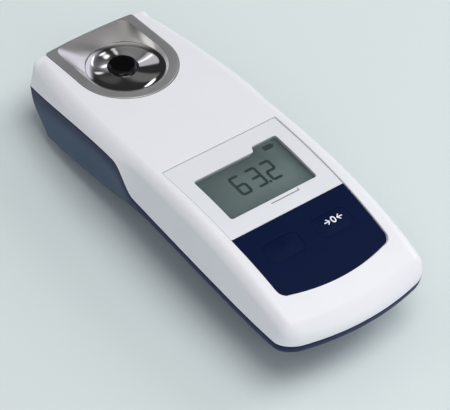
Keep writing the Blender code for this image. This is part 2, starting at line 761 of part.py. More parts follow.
def hull_ring(levels, lip_share, hollow_share, lean_share, rake_share, lift_share, extra):
    """One ring of the bottom housing.

    Levels 0 to 1 run from the seam to the lower edge and 1 to 2 on to the underside. The set-in
    mixes that of the near half and that of the grip, which fades toward the far end. The lean
    adds to it with the hull's depth, and the rake draws the far end in.
    """
    grip_level, near_level = levels
    probe = plan_half(0, 0, 0)
    share = grip_share(probe.y)
    fade = np.clip((HALF_LENGTH - probe.y) / GRIP_FADE_FROM_FAR, 0, 1)
    inset = lip_share * LIP_OVERHANG * (1 - share) + hollow_share * GRIP_HOLLOW * share * fade
    inset += lean_share * HULL_NARROWING * edge_z(probe.y) / LIP_Z + extra
    near_in = float(inset[0])
    far_in = float(inset[-1])
    ring = Half(0, near_in, far_in + FAR_RAKE * rake_share,
                max(NEAR_CORNER - near_in / 2, NEAR_CORNER / 2),
                max(FAR_CORNER - far_in / 2, FAR_CORNER / 2))
    run = slice(NEAR_POINTS, -FAR_POINTS)
    side_in = np.interp(ring.y, probe.y[run], inset[run])
    ring.x *= 1 - side_in / half_width(ring.y)
    share = grip_share(ring.y)
    level = near_level * (1 - share) + grip_level * share
    seam = seam_z(ring.y) - SEAM_GAP / 2
    edge = edge_z(ring.y)
    z = np.where(level < 1, seam + (edge - seam) * level, edge * (2 - level))
    return whole_ring(ring, z + FLOOR * lift_share)


def make_bottom_housing():
    """Dark blue lower shell: thin lip, hollowed grip and a hull with a flat underside."""
    outer_shares = (
        ((0, 0), 0, 0, 0, 0, 0),
        ((0.25, 0.4), 0.03, 0.6, 0, 0.094, 0),
        ((0.55, 0.75), 0.12, 1, 0, 0.31, 0),
        ((0.7, 0.85), 0.2, 0.9, 0, 0.525, 0),
        ((0.85, 0.93), 0.3, 0.6, 0, 0.755, 0),
        ((1, 1), 0.6, 0.25, 0, 1, 0),
        ((1.05, 1.004), 1, 0.3, 0.0256, 1.02, 0),
        ((1.14, 1.1), 1, 0.3, 0.1538, 1.06, 0),
        ((1.45, 1.42), 1, 0.3, 0.3974, 1.14, 0),
        ((1.8, 1.78), 1, 0.3, 0.6923, 1.19, 0),
        ((1.93, 1.92), 1, 0.3, 0.8333, 1.21, 0),
        ((2, 2), 1, 0.3, 1, 1.25, 0),
    )
    inner_shares = (
        ((0, 0), 0, 0, 0, 0, 0),
        ((0.45, 0.5), 0.05, 1, 0, 0.22, 0.1),
        ((0.85, 0.6), 0.1, 0.8, 0, 0.755, 0.2),
        ((1.14, 1.1), 1, 0.3, 0.1667, 1.06, 0.6),
        ((1.45, 1.42), 1, 0.3, 0.3974, 1.14, 0.5),
        ((1.8, 1.78), 1, 0.3, 0.6667, 1.19, 0.5),
        ((2, 2), 1, 0.3, 0.8974, 1.22, 1),
    )
    rings = [hull_ring(*row, 0) for row in reversed(outer_shares)]
    rings += [hull_ring(*row, WALL) for row in inner_shares]
    shell = loft("bottom_housing", rings, blue_shell)
    for number, (x, y) in enumerate(screw_places()):
        join(shell, upright(f"bottom_boss_{number}", x, y, FLOOR / 2,
                            BOSS_JOINT_Z - SEAM_GAP / 2, BOSS_RADIUS))
    for number, (x, y) in enumerate(screw_places()):
        cut(shell, upright(f"counterbore_{number}", x, y, -CUT_OVERRUN,
                           BOSS_JOINT_Z - SCREW_SHELF, SCREW_HEAD_RADIUS + SCREW_CLEARANCE,
                           sides=SMALL_ROUND_SIDES))
        cut(shell, upright(f"screw_hole_{number}", x, y, -CUT_OVERRUN,
                           BOSS_JOINT_Z, SCREW_SHANK_RADIUS + SCREW_CLEARANCE,
                           sides=SMALL_ROUND_SIDES))
    cut(shell, plate("cover_opening", rectangle(
        COVER_HALF + SEAT_GAP, COVER_NEAR_Y - SEAT_GAP, COVER_FAR_Y + SEAT_GAP,
        COVER_CORNER + SEAT_GAP), -CUT_OVERRUN, FLOOR + SEAT_GAP / 2))
    smooth(shell)


def make_housing_gasket():
    """Soft band that closes the seam from inside."""
    rings = []
    for inset, rise in ((0, -1), (0, 1), (1, 1), (1, -1)):
        amount = SEAL_BAND_INSET + SEAL_BAND_WIDTH * inset
        half = plan_half(amount, amount, amount)
        rings.append(whole_ring(half, seam_z(half.y) + rise * SEAL_BAND_HEIGHT / 2))
    count = len(rings[0])
    faces = []
    for level in range(4):
        base = level * count
        above = ((level + 1) % 4) * count
        for i in range(count):
            j = (i + 1) % count
            faces.append((base + i, base + j, above + j, above + i))
    band = new_object("housing_gasket", np.concatenate(rings), faces, black_rubber)
    face_outward(band)
    smooth(band)


# prism stage


def stage_block_far():
    """Far end of the stage's thick middle, from the stage centre."""
    return HALF_LENGTH - STAGE_Y - STAGE_BLOCK_INSET - SEAT_GAP


def funnel_ring(z):
    """Inner edge of the stage's border: round toward the keypad, squared off at the far end."""
    points = []
    for angle in np.linspace(0, 2 * math.pi, DISH_SIDES, endpoint=False):
        across = abs(math.cos(angle)) / FUNNEL_HALF
        ahead = max(math.sin(angle), 0) / (FUNNEL_FAR - DISH_OFFSET)
        reach = (across**8 + ahead**8) ** (-1 / 8)
        if math.sin(angle) <= 0:
            reach = FUNNEL_HALF
        points.append((reach * math.cos(angle), reach * math.sin(angle) + DISH_OFFSET, z))
    return np.array(points)


def dish_ring(radius, depth, tilt=0, offset=DISH_OFFSET):
    """A circle in the stage, level or deeper toward the far side."""
    angles = np.linspace(0, 2 * math.pi, DISH_SIDES, endpoint=False)
    return np.column_stack([
        radius * np.cos(angles),
        radius * np.sin(angles) + offset,
        -depth - tilt * np.sin(angles),
    ])


def make_stage():
    """Steel stage: flat border, funnel toward the far edge, shallow dish round the prism."""
    far = HALF_LENGTH - STAGE_Y - STAGE_FAR_SETBACK
    stage = plate("stage_plate", stage_outline(0, far), -STAGE_THICK, 0, steel)
    block = plate("stage_block", stage_outline(-STAGE_BLOCK_INSET, stage_block_far()),
                  -STAGE_BLOCK_DEPTH, -STAGE_THICK / 2)
    stage_frame(stage)
    stage.location.z = stage_plane_z(STAGE_Y)
    stage_frame(block)
    shift_along(stage, -STAGE_THICK / 2)
    shift_along(block, -(STAGE_BLOCK_DEPTH + STAGE_THICK / 2) / 2)
    join(stage, block)
    rings = [
        funnel_ring(CUT_OVERRUN),
        funnel_ring(0),
        dish_ring(DISH_RADIUS, DISH_RIM_DEPTH, DISH_RIM_TILT),
        dish_ring(DISH_WALL_RADIUS, DISH_WALL_DEPTH, DISH_WALL_TILT),
        dish_ring(DISH_FLOOR_RADIUS, DISH_FLOOR_DEPTH, DISH_FLOOR_TILT),
        dish_ring(PRISM_RADIUS + 2 * SEAT_GAP, DISH_DEPTH, offset=PRISM_OFFSET),
    ]
    funnel = loft("funnel", rings, None, cutter_group)
    cut(stage, stage_frame(funnel))
    cut(stage, shift_along(stage_frame(rod(
        "prism_bore", (0, 0, 0), PRISM_RADIUS + SEAT_GAP, 4 * CUT_OVERRUN)), 0, PRISM_OFFSET))
    smooth(stage, 0.35)


def shift_along(obj, lift, forward=0):
    """Move an object that lies in the tilted stage plane along that plane's own axes."""
    tilt = math.atan(STAGE_SLOPE)
    obj.location.y += forward * math.cos(tilt) - lift * math.sin(tilt)
    obj.location.z += forward * math.sin(tilt) + lift * math.cos(tilt)
    return obj


def make_prism():
    """Dark measuring prism: round face on a collar, with two slanted sides below."""
    top = -PRISM_TOP_DEPTH
    body = rod("prism", (0, 0, 0), PRISM_RADIUS, PRISM_HEIGHT, dark_glass)
    shift_along(stage_frame(body), top - PRISM_HEIGHT / 2, PRISM_OFFSET)
    reach = PRISM_HEIGHT
    away = reach / math.sqrt(2)
    for side in (-1, 1):
        wedge = box(f"prism_slant_{side + 1}", -reach, reach, -reach, reach, -reach, reach)
        shift_along(stage_frame(wedge), top - PRISM_COLLAR - away,
                    PRISM_OFFSET + side * (PRISM_RADIUS + away))
        wedge.rotation_euler.x += math.pi / 4
        cut(body, wedge)
    smooth(body)


def make_prism_seal():
    """Rubber ring under the stage, round the prism's collar."""
    inner = PRISM_RADIUS + SEAT_GAP
    top = -STAGE_BLOCK_DEPTH - SEAT_GAP
    ring = rod("prism_seal", (0, 0, 0), inner + SEAL_WIDTH, SEAL_THICK, black_rubber)
    shift_along(stage_frame(ring), top - SEAL_THICK / 2, PRISM_OFFSET)
    hole = rod("seal_hole", (0, 0, 0), inner, 4 * SEAL_THICK)
    shift_along(stage_frame(hole), top - SEAL_THICK / 2, PRISM_OFFSET)
    cut(ring, hole)
    smooth(ring)


# front panel, display and keys


def panel_outline(inset):
    """Recess of the front panel: square at the top, bowed at the bottom with round corners."""
    bottom = []
    for share in np.linspace(-1, 1, 17):
        x = (KEYPAD_BOTTOM_HALF - inset - KEYPAD_CORNER) * share
        bottom.append((x, KEYPAD_BOTTOM_Y + inset - KEYPAD_BOW * (1 - share**2)))
    turn = KEYPAD_CORNER
    corner_y = KEYPAD_BOTTOM_Y + inset + turn
    right = [(KEYPAD_BOTTOM_HALF - inset - turn * (1 - math.sin(a)), corner_y - turn * math.cos(a))
             for a in np.linspace(0.45, math.pi / 2, 6)]
    sides = [
        (KEYPAD_TOP_HALF - inset, KEYPAD_TOP_Y),
        (PANEL_TOP_HALF - inset, PANEL_TOP_Y - inset),
    ]
    upper = right + sides
    mirrored = [(-x, y) for x, y in reversed(upper)]
    return bottom + upper + mirrored


def side_half(y):
    """Half the panel's width at a place along it."""
    share = (y - KEYPAD_TOP_Y) / (PANEL_TOP_Y - KEYPAD_TOP_Y)
    return KEYPAD_TOP_HALF + (PANEL_TOP_HALF - KEYPAD_TOP_HALF) * share


def display_outline(inset):
    """Display opening: a rectangle with a tab for the battery sign at its upper right."""
    half = DISPLAY_HALF - inset
    high = DISPLAY_HIGH_Y - inset
    return rounded_polygon([
        (-half, DISPLAY_LOW_Y + inset),
        (half, DISPLAY_LOW_Y + inset),
        (half, high + DISPLAY_TAB_RISE),
        (DISPLAY_TAB_LEFT + DISPLAY_TAB_SLANT + inset, high + DISPLAY_TAB_RISE),
        (DISPLAY_TAB_LEFT + inset, high),
        (-half, high),
    ], DISPLAY_CORNER)


def make_label_sheet():
    """Pale film round the display."""
    sheet = arched_slab("label_sheet", PANEL_TOP_HALF, KEYPAD_TOP_Y - CUT_OVERRUN,
                        PANEL_TOP_Y + CUT_OVERRUN, PANEL_RECESS - SEAT_GAP - SHEET_THICK,
                        PANEL_RECESS - SEAT_GAP, label_film)
    low = KEYPAD_TOP_Y + SEAT_GAP
    high = PANEL_TOP_Y - SEAT_GAP
    shape = plate("label_shape", [
        (-side_half(low) + SEAT_GAP, low),
        (side_half(low) - SEAT_GAP, low),
        (side_half(high) - SEAT_GAP, high),
        (-side_half(high) + SEAT_GAP, high),
    ], LIP_Z, CREST_Z + CUT_OVERRUN)
    keep_inside(sheet, shape)
    cut(sheet, plate("label_window", display_outline(-SEAT_GAP), LIP_Z, CREST_Z + CUT_OVERRUN))


def key_outline(side, grow):
    """Rounded outline of one key."""
    return rectangle(KEY_WIDTH / 2 + grow, KEY_Y - KEY_HEIGHT / 2 - grow,
                     KEY_Y + KEY_HEIGHT / 2 + grow, KEY_CORNER + grow, side * KEY_X)


def make_keypad_sheet():
    """Navy film of the keypad, open where the two keys come through."""
    sheet = arched_slab("keypad_sheet", PANEL_TOP_HALF,
                        KEYPAD_BOTTOM_Y - KEYPAD_BOW - CUT_OVERRUN, KEYPAD_TOP_Y,
                        PANEL_RECESS - SEAT_GAP - SHEET_THICK, PANEL_RECESS - SEAT_GAP, navy_film)
    keep_inside(sheet, plate("keypad_shape", panel_outline(SEAT_GAP), LIP_Z,
                             CREST_Z + CUT_OVERRUN))
    for side in (-1, 1):
        cut(sheet, plate(f"key_gap_{side + 1}", key_outline(side, SEAT_GAP), LIP_Z,
                         CREST_Z + CUT_OVERRUN))


def plunger_top_z():
    """Top of a resting switch plunger."""
    return BOARD_TOP_Z + SEAT_GAP + SWITCH_HEIGHT + SWITCH_WELL


def make_key(name, side):
    """One key cap with its stem; its origin is on its line of travel."""
    cap = arched_slab(name, KEYPAD_TOP_HALF, KEY_Y - KEY_HEIGHT, KEY_Y + KEY_HEIGHT,
                      -KEY_PROUD, PANEL_RECESS - KEY_UNDER_GAP, navy_film)
    keep_inside(cap, plate(name + "_shape", key_outline(side, 0), LIP_Z, CREST_Z + CUT_OVERRUN))
    low = plunger_top_z() + SEAT_GAP
    stem = upright(name + "_stem", side * KEY_X, KEY_Y, low,
                   top_z(KEY_Y) - (PANEL_RECESS - KEY_UNDER_GAP) / 2, STEM_RADIUS,
                   sides=SMALL_ROUND_SIDES)
    join(cap, stem)
    set_origin(cap, (side * KEY_X, KEY_Y, low))


def set_origin(obj, place):
    """Move an object's origin without moving its shape."""
    shift = Vector(place) - obj.location
    for vertex in obj.data.vertices:
        vertex.co -= shift
    obj.location = place


def make_switch(name, side):
    """Tactile switch on the board, with a well for its plunger."""
    x = side * KEY_X
    half = SWITCH_WIDTH / 2
    low = BOARD_TOP_Z + SEAT_GAP
    body = box("switch_" + name, x - half, x + half, KEY_Y - half, KEY_Y + half,
               low, low + SWITCH_HEIGHT, black_plastic)
    cut(body, upright(f"switch_well_{name}", x, KEY_Y, low + SWITCH_HEIGHT - SWITCH_WELL,
                      low + SWITCH_HEIGHT + CUT_OVERRUN, SWITCH_PLUNGER_RADIUS + SEAT_GAP,
                      sides=SMALL_ROUND_SIDES))
    top = plunger_top_z()
    upright("plunger_" + name, x, KEY_Y,
            low + SWITCH_HEIGHT - SWITCH_WELL + SEAT_GAP + KEY_TRAVEL, top,
            SWITCH_PLUNGER_RADIUS, pale_plastic, sides=SMALL_ROUND_SIDES)


def make_display():
    """Clear window, display glass, its frame and the rubber connector strip."""
    plate("display_window", display_outline(0), WINDOW_LOW_Z, WINDOW_TOP_Z, window_plastic)
    plate("lcd_module", display_outline(SEAT_GAP), GLASS_LOW_Z, GLASS_TOP_Z, display_glass)
    inner = DISPLAY_HALF
    outer = inner + FRAME_WALL
    low = DISPLAY_LOW_Y
    high = DISPLAY_HIGH_Y + DISPLAY_TAB_RISE
    frame = box("lcd_frame", -outer, outer, low - FRAME_WALL, high + FRAME_WALL,
                FRAME_LOW_Z, FRAME_TOP_Z, black_plastic)
    cut(frame, box("frame_hole", -inner, inner, low, high,
                   FRAME_LOW_Z - CUT_OVERRUN, FRAME_TOP_Z + CUT_OVERRUN))
    reach = inner - ZEBRA_SHORTER
    box("zebra_strip", -reach, reach, low + SEAT_GAP, low + SEAT_GAP + ZEBRA_WIDTH,
        BOARD_TOP_Z + SEAT_GAP, GLASS_LOW_Z - SEAT_GAP, black_rubber)


def make_main_board():
    """Main circuit board and its processor."""
    box("main_board", -BOARD_HALF, BOARD_HALF, BOARD_NEAR_Y, BOARD_FAR_Y,
        BOARD_Z, BOARD_TOP_Z, board_green)
    half = CHIP_WIDTH / 2
    middle = (DISPLAY_HIGH_Y + DISPLAY_TAB_RISE + FRAME_WALL + BOARD_FAR_Y) / 2
    low = BOARD_TOP_Z + SEAT_GAP
    right = -FLEX_WIDTH / 2 - CHIP_ROOM
    box("processor", right - CHIP_WIDTH, right, middle - half, middle + half,
        low, low + CHIP_HEIGHT, black_plastic)


# battery bay


def make_battery_tray():
    """Tray over the two cells, with board posts on top and the cover's screw block."""
    outer = BAY_HALF + TRAY_WALL
    tray = box("battery_tray", -outer, outer, BAY_NEAR_Y - TRAY_WALL, BAY_FAR_Y + TRAY_WALL,
               TRAY_LOW_Z, TRAY_TOP_Z, black_plastic)
    join(tray, box("latch_block", -LATCH_BLOCK_HALF, LATCH_BLOCK_HALF, BAY_FAR_Y + TRAY_WALL / 2,
                   LATCH_FAR_Y, TRAY_LOW_Z, TRAY_LOW_Z + LATCH_BLOCK_HEIGHT))
    for x in (-BOARD_POST_X, BOARD_POST_X):
        for y in (BAY_NEAR_Y + 2 * BOARD_POST_RADIUS, BAY_FAR_Y - 2 * BOARD_POST_RADIUS):
            join(tray, upright("board_post", x, y, TRAY_TOP_Z - TRAY_ROOF / 2,
                               BOARD_Z - SEAT_GAP, BOARD_POST_RADIUS, sides=SMALL_ROUND_SIDES))
    cut(tray, box("tray_hollow", -BAY_HALF, BAY_HALF, BAY_NEAR_Y, BAY_FAR_Y,
                  -CUT_OVERRUN, TRAY_CEILING_Z))
    cut(tray, upright("latch_hole", 0, COIN_Y, -CUT_OVERRUN,
                      FLOOR + COIN_SHANK_LENGTH, COIN_SHANK_RADIUS + SEAT_GAP,
                      sides=SMALL_ROUND_SIDES))


def make_cell(name, side):
    """One AAA cell with its raised terminal; the two lie opposite ways round."""
    x = side * CELL_PITCH / 2
    can = rod(name, (x, BAY_Y, CELL_Z), CELL_RADIUS, CELL_LENGTH - CELL_NUB_LENGTH, cell_wrap,
              axis="Y")
    can.location.y -= side * CELL_NUB_LENGTH / 2
    nub_y = BAY_Y + side * (CELL_LENGTH / 2 - CELL_NUB_LENGTH)
    join(can, rod(name + "_nub", (x, nub_y, CELL_Z), CELL_NUB_RADIUS, 2 * CELL_NUB_LENGTH,
                  axis="Y", sides=SMALL_ROUND_SIDES))


def make_leaf(name, x0, x1, wall_y, toward):
    """Leaf contact: a flat strip at the wall with a bulge toward the cell."""
    heights = np.linspace(-1, 1, 9)
    line = [wall_y + toward * (SEAT_GAP + CONTACT_BULGE * math.cos(h * math.pi / 2) ** 2)
            for h in heights]
    points = []
    for x in (x0, x1):
        for y, h in zip(line, heights):
            points.append((x, y, CELL_Z + h * CONTACT_WIDTH / 2))
    count = len(heights)
    faces = [(i, i + 1, count + i + 1, count + i) for i in range(count - 1)]
    leaf = new_object(name, points, faces, bright_metal)
    thick = leaf.modifiers.new("thickness", "SOLIDIFY")
    thick.thickness = CONTACT_THICK
    thick.offset = toward
    thick.use_even_offset = True
    smooth(leaf)
    return leaf


def make_contacts():
    """One bridge at the keypad end and two separate leaves at the other."""
    reach = CELL_PITCH / 2 + CONTACT_WIDTH / 2
    make_leaf("contact_bridge", -reach, reach, BAY_NEAR_Y, 1)
    for name, side in (("contact_negative", -1), ("contact_positive", 1)):
        middle = side * CELL_PITCH / 2
        make_leaf(name, middle - CONTACT_WIDTH / 2, middle + CONTACT_WIDTH / 2, BAY_FAR_Y, -1)


def make_battery_cover():
    """Flush cover in the underside with a counterbore for its coin screw."""
    cover = plate("battery_cover", rectangle(COVER_HALF, COVER_NEAR_Y, COVER_FAR_Y, COVER_CORNER),
                  COVER_RECESS, FLOOR, blue_shell)
    cut(cover, upright("coin_counterbore", 0, COIN_Y, -CUT_OVERRUN,
                       COVER_RECESS + COIN_HEAD_HEIGHT, COIN_HEAD_RADIUS + SEAT_GAP))
    cut(cover, upright("coin_hole", 0, COIN_Y, -CUT_OVERRUN, FLOOR + CUT_OVERRUN,
                       COIN_SHANK_RADIUS + SEAT_GAP, sides=SMALL_ROUND_SIDES))
    low = FLOOR + SEAT_GAP
    edge = COVER_HALF - SEAT_GAP
    near = BAY_NEAR_Y + SEAT_GAP + CONTACT_THICK
    far = BAY_FAR_Y - SEAT_GAP
    gasket = plate("cover_gasket", rectangle(edge, near, far, COVER_CORNER), low,
                   low + GASKET_THICK, black_rubber)
    cut(gasket, plate("gasket_hole", rectangle(
        edge - GASKET_WIDTH, near + GASKET_WIDTH, far - GASKET_WIDTH,
        COVER_CORNER - GASKET_WIDTH), -CUT_OVERRUN, FLOOR + CUT_OVERRUN))
    head_z = COVER_RECESS + COIN_HEAD_HEIGHT / 2 - SEAT_GAP / 2
    screw = rod("cover_screw", (0, COIN_Y, head_z), COIN_HEAD_RADIUS,
                COIN_HEAD_HEIGHT - SEAT_GAP, bright_metal)
    join(screw, upright("coin_shank", 0, COIN_Y, head_z, COIN_SHANK_LENGTH, COIN_SHANK_RADIUS,
                        sides=SMALL_ROUND_SIDES))
    cut(screw, box("coin_slot", -COIN_HEAD_RADIUS - CUT_OVERRUN, COIN_HEAD_RADIUS + CUT_OVERRUN,
                   COIN_Y - COIN_SLOT_WIDTH / 2, COIN_Y + COIN_SLOT_WIDTH / 2,
                   -CUT_OVERRUN, COVER_RECESS + COIN_SLOT_DEPTH))


def make_housing_screw(number, x, y):
    """Screw from the underside through the bottom boss into the top boss."""
    head_top = BOSS_JOINT_Z - SCREW_SHELF - SEAT_GAP
    head = rod(f"housing_screw_{number}", (x, y, head_top - SCREW_HEAD_HEIGHT / 2),
               SCREW_HEAD_RADIUS, SCREW_HEAD_HEIGHT, bright_metal, sides=SMALL_ROUND_SIDES)
    join(head, upright(f"screw_shank_{number}", x, y, head_top - SCREW_HEAD_HEIGHT / 2,
                       BOSS_JOINT_Z + SCREW_BITE, SCREW_SHANK_RADIUS, sides=SMALL_ROUND_SIDES))
    low = head_top - SCREW_HEAD_HEIGHT
    cut(head, rod(f"screw_drive_{number}", (x, y, low), DRIVE_RADIUS, 2 * DRIVE_DEPTH, sides=6))


# optics


def make_optics():
    """Chassis under the stage with lamp, lens and line sensor, and the boards that carry them."""
    near = STAGE_Y - CHASSIS_NEAR
    far = STAGE_Y + CHASSIS_FAR
    seat_z = chassis_top_z()
    lens_z = LIP_Z + LENS_RISE
    chassis = box("optics_chassis", -CHASSIS_HALF, CHASSIS_HALF, near, far,
                  lens_z - SENSOR_BOARD_HALF_HEIGHT - CHASSIS_SKIRT, seat_z, black_plastic)
    ceiling = seat_z - CHASSIS_CEILING
    wall_y = STAGE_Y + LENS_WALL_OFFSET
    cut(chassis, box("chassis_hollow_near", -CHASSIS_HALF + CHASSIS_WALL,
                     CHASSIS_HALF - CHASSIS_WALL, near + CHASSIS_WALL, wall_y,
                     -CUT_OVERRUN, ceiling))
    cut(chassis, box("chassis_hollow_far", -CHASSIS_HALF + CHASSIS_WALL,
                     CHASSIS_HALF - CHASSIS_WALL, wall_y + CHASSIS_WALL, far - CHASSIS_WALL,
                     -CUT_OVERRUN, ceiling))
    lens_hole = rod("lens_hole", (0, wall_y + CHASSIS_WALL / 2, lens_z),
                    LENS_RADIUS + SEAT_GAP, 2 * CHASSIS_WALL, axis="Y")
    cut(chassis, lens_hole)
    led_z = LIP_Z + LED_RISE
    cut(chassis, rod("led_hole", (0, near + CHASSIS_WALL / 2, led_z), LED_RADIUS + SEAT_GAP,
                     2 * CHASSIS_WALL, axis="Y", sides=SMALL_ROUND_SIDES))
    prism_hole = rod("chassis_prism_hole", (0, 0, 0), PRISM_RADIUS + 2 * SEAT_GAP,
                     4 * CHASSIS_CEILING)
    shift_along(stage_frame(prism_hole), -STAGE_BLOCK_DEPTH - CHASSIS_CEILING, PRISM_OFFSET)
    cut(chassis, prism_hole)
    seal_floor = -STAGE_BLOCK_DEPTH - 2 * SEAT_GAP - SEAL_THICK
    groove = rod("seal_groove", (0, 0, 0), PRISM_RADIUS + 2 * SEAT_GAP + SEAL_WIDTH,
                 CUT_OVERRUN)
    shift_along(stage_frame(groove), seal_floor + CUT_OVERRUN / 2, PRISM_OFFSET)
    cut(chassis, groove)
    lens = rod("lens", (0, wall_y + CHASSIS_WALL / 2, lens_z), LENS_RADIUS, LENS_THICK,
               clear_lens, axis="Y")
    swell_lens(lens)
    lamp_far = near + LED_LENGTH - SEAT_GAP - BOARD_SMALL_THICK
    rod("led", (0, lamp_far - LED_LENGTH / 2, led_z), LED_RADIUS, LED_LENGTH, amber_lamp,
        axis="Y", sides=SMALL_ROUND_SIDES)
    led_back = lamp_far - LED_LENGTH - SEAT_GAP
    box("led_board", -BOARD_SMALL_HALF, BOARD_SMALL_HALF, led_back - BOARD_SMALL_THICK, led_back,
        led_z - SENSOR_BOARD_HALF_HEIGHT, led_z + SENSOR_BOARD_HALF_HEIGHT / 2, board_green)
    back = far - CHASSIS_WALL - SEAT_GAP
    box("sensor_board", -BOARD_SMALL_HALF, BOARD_SMALL_HALF, back - BOARD_SMALL_THICK, back,
        lens_z - SENSOR_BOARD_HALF_HEIGHT, lens_z + SENSOR_BOARD_HALF_HEIGHT, board_green)
    face = back - BOARD_SMALL_THICK - SEAT_GAP
    box("line_sensor", -SENSOR_HALF, SENSOR_HALF, face - SENSOR_THICK, face,
        lens_z - SENSOR_HEIGHT / 2, lens_z + SENSOR_HEIGHT / 2, black_plastic)
    bead_x = CHASSIS_HALF + SEAT_GAP + THERMISTOR_WIDTH / 2
    bead = box("thermistor", -THERMISTOR_WIDTH / 2, THERMISTOR_WIDTH / 2,
               -THERMISTOR_LENGTH / 2, THERMISTOR_LENGTH / 2,
               -THERMISTOR_HEIGHT / 2, THERMISTOR_HEIGHT / 2, black_plastic)
    shift_along(stage_frame(bead), -STAGE_BLOCK_DEPTH - SEAT_GAP - THERMISTOR_HEIGHT / 2)
    bead.location.x = bead_x
    make_flex_cable(led_back - BOARD_SMALL_THICK - SEAT_GAP, led_z)


def chassis_top_z():
    """The chassis stops just under the lowest corner of the stage's thick middle."""
    return stage_plane_z(STAGE_Y + CHASSIS_FAR) - STAGE_BLOCK_DEPTH - SEAT_GAP * 2


def swell_lens(lens):
    """Bulge both faces of the lens by adding a raised middle to each."""
    work = bmesh.new()
    work.from_mesh(lens.data)
    caps = [face for face in work.faces if len(face.verts) > 4]
    for face in caps:
        result = bmesh.ops.inset_region(work, faces=[face], thickness=LENS_RADIUS / 2)
        bmesh.ops.translate(work, verts=face.verts, vec=face.normal * LENS_BULGE)
        result.clear()
    work.to_mesh(lens.data)
    work.free()
    smooth(lens, 0.9)


def make_flex_cable(start_y, start_z):
    """Flat cable from the lamp board up and onto the main board."""
    landing_z = BOARD_TOP_Z + SEAT_GAP
    end_y = BOARD_FAR_Y - FLEX_LANDING
    path = [
        (start_y, start_z - SENSOR_BOARD_HALF_HEIGHT / 2),
        (start_y, start_z),
        (start_y - FLEX_THICK, (start_z + landing_z) / 2),
        (start_y - (start_y - BOARD_FAR_Y) / 3, landing_z),
        (BOARD_FAR_Y, landing_z + FLEX_THICK),
        (end_y, landing_z),
    ]
    points = [(x, y, z) for x in (-FLEX_WIDTH / 2, FLEX_WIDTH / 2) for y, z in path]
    count = len(path)
    faces = [(i, i + 1, count + i + 1, count + i) for i in range(count - 1)]
    ribbon = new_object("flex_cable", points, faces, copper_film)
    thick = ribbon.modifiers.new("thickness", "SOLIDIFY")
    thick.thickness = FLEX_THICK
    thick.offset = 0
    thick.use_even_offset = True
    smooth(ribbon)


make_top_housing()
make_bottom_housing()
make_housing_gasket()
make_stage()
make_prism()
make_prism_seal()
make_label_sheet()
make_keypad_sheet()
make_key("left_key", -1)
make_key("zero_key", 1)
make_switch("left", -1)
make_switch("zero", 1)
make_display()
make_main_board()
make_battery_tray()
make_cell("battery_left", -1)
make_cell("battery_right", 1)
make_contacts()
make_battery_cover()
for screw_number, (screw_x, screw_y) in enumerate(screw_places(), 1):
    make_housing_screw(screw_number, screw_x, screw_y)
make_optics()
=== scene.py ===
import bpy
import math
import numpy as np
from mathutils import Matrix, Vector
from mathutils.bvhtree import BVHTree


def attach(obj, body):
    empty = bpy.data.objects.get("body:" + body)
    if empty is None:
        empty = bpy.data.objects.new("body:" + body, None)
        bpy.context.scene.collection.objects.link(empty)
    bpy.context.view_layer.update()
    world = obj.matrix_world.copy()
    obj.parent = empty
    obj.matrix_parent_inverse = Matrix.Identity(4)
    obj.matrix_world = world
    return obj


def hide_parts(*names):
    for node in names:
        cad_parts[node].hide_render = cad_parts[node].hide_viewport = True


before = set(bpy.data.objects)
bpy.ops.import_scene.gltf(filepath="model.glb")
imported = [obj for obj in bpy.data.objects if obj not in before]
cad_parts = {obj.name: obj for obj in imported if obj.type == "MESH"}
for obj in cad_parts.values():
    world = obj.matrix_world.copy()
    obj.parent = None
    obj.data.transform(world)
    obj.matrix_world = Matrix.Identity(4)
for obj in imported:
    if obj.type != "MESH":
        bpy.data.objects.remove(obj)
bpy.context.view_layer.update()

# lengths in metres, +Z up, keypad end toward -Y, prism stage toward +Y
body = {
    "halfLength": 0.066, "halfWidth": 0.0275, "lip": 0.014, "crest": 0.02943,
    "widestY": -0.04, "widestFromNear": 0.026, "nearTaper": 0.00083, "nearTaperPower": 2,
    "farTaper": 0.00229, "farTaperPower": 1.5, "farRounding": 0.00284, "farRoundingPower": 6,
    "crestY": -0.013, "crestFromNear": 0.053, "nearFall": 0.00808, "nearFallPower": 2.27,
    "farFall": 0.00719, "farFallPower": 1.4,
    "nearBow": 0.0045, "farBow": 0.00196, "bowPower": 6,
    "nearCorner": 0.0062, "farCorner": 0.0036, "leastCorner": 0.0008,
    "gripStartY": 0.0001, "gripFullY": 0.0314, "gripFade": 0.03564,
    "climbStartY": 0.0072, "climbEndY": 0.0178,
    "seamNearRise": 0.003, "seamPeakRise": 0.0096, "seamFarFall": 0.0101, "seamFallPower": 1.5,
    "edgeDrop": 0.0124, "seamGap": 0.0003,
}
# points along each stretch of a plan outline
planCount = {"near": 14, "corner": 12, "side": 110, "farCorner": 10, "far": 16}


# smooth step from 0 to 1: 3s^2 - 2s^3
def eased(s):
    s = np.clip(s, 0, 1)
    return s * s * (3 - 2 * s)


# half the plan width at y: full width less tapers that grow as powers of the way to each end
def halfWidth(y):
    far = np.clip((y - body["widestY"]) / (body["halfLength"] - body["widestY"]), 0, 1)
    near = np.clip((body["widestY"] - y) / body["widestFromNear"], 0, 1)
    return (body["halfWidth"] - body["farTaper"] * far ** body["farTaperPower"]
            - body["farRounding"] * far ** body["farRoundingPower"]
            - body["nearTaper"] * near ** body["nearTaperPower"])


# height of the top face at y: the crest less a fall that grows as a power of the way to each end
def topZ(y):
    near = np.clip((body["crestY"] - y) / body["crestFromNear"], 0, 1)
    far = np.clip((y - body["crestY"]) / (body["halfLength"] - body["crestY"]), 0, 1)
    return (body["crest"] - body["nearFall"] * near ** body["nearFallPower"]
            - body["farFall"] * far ** body["farFallPower"])


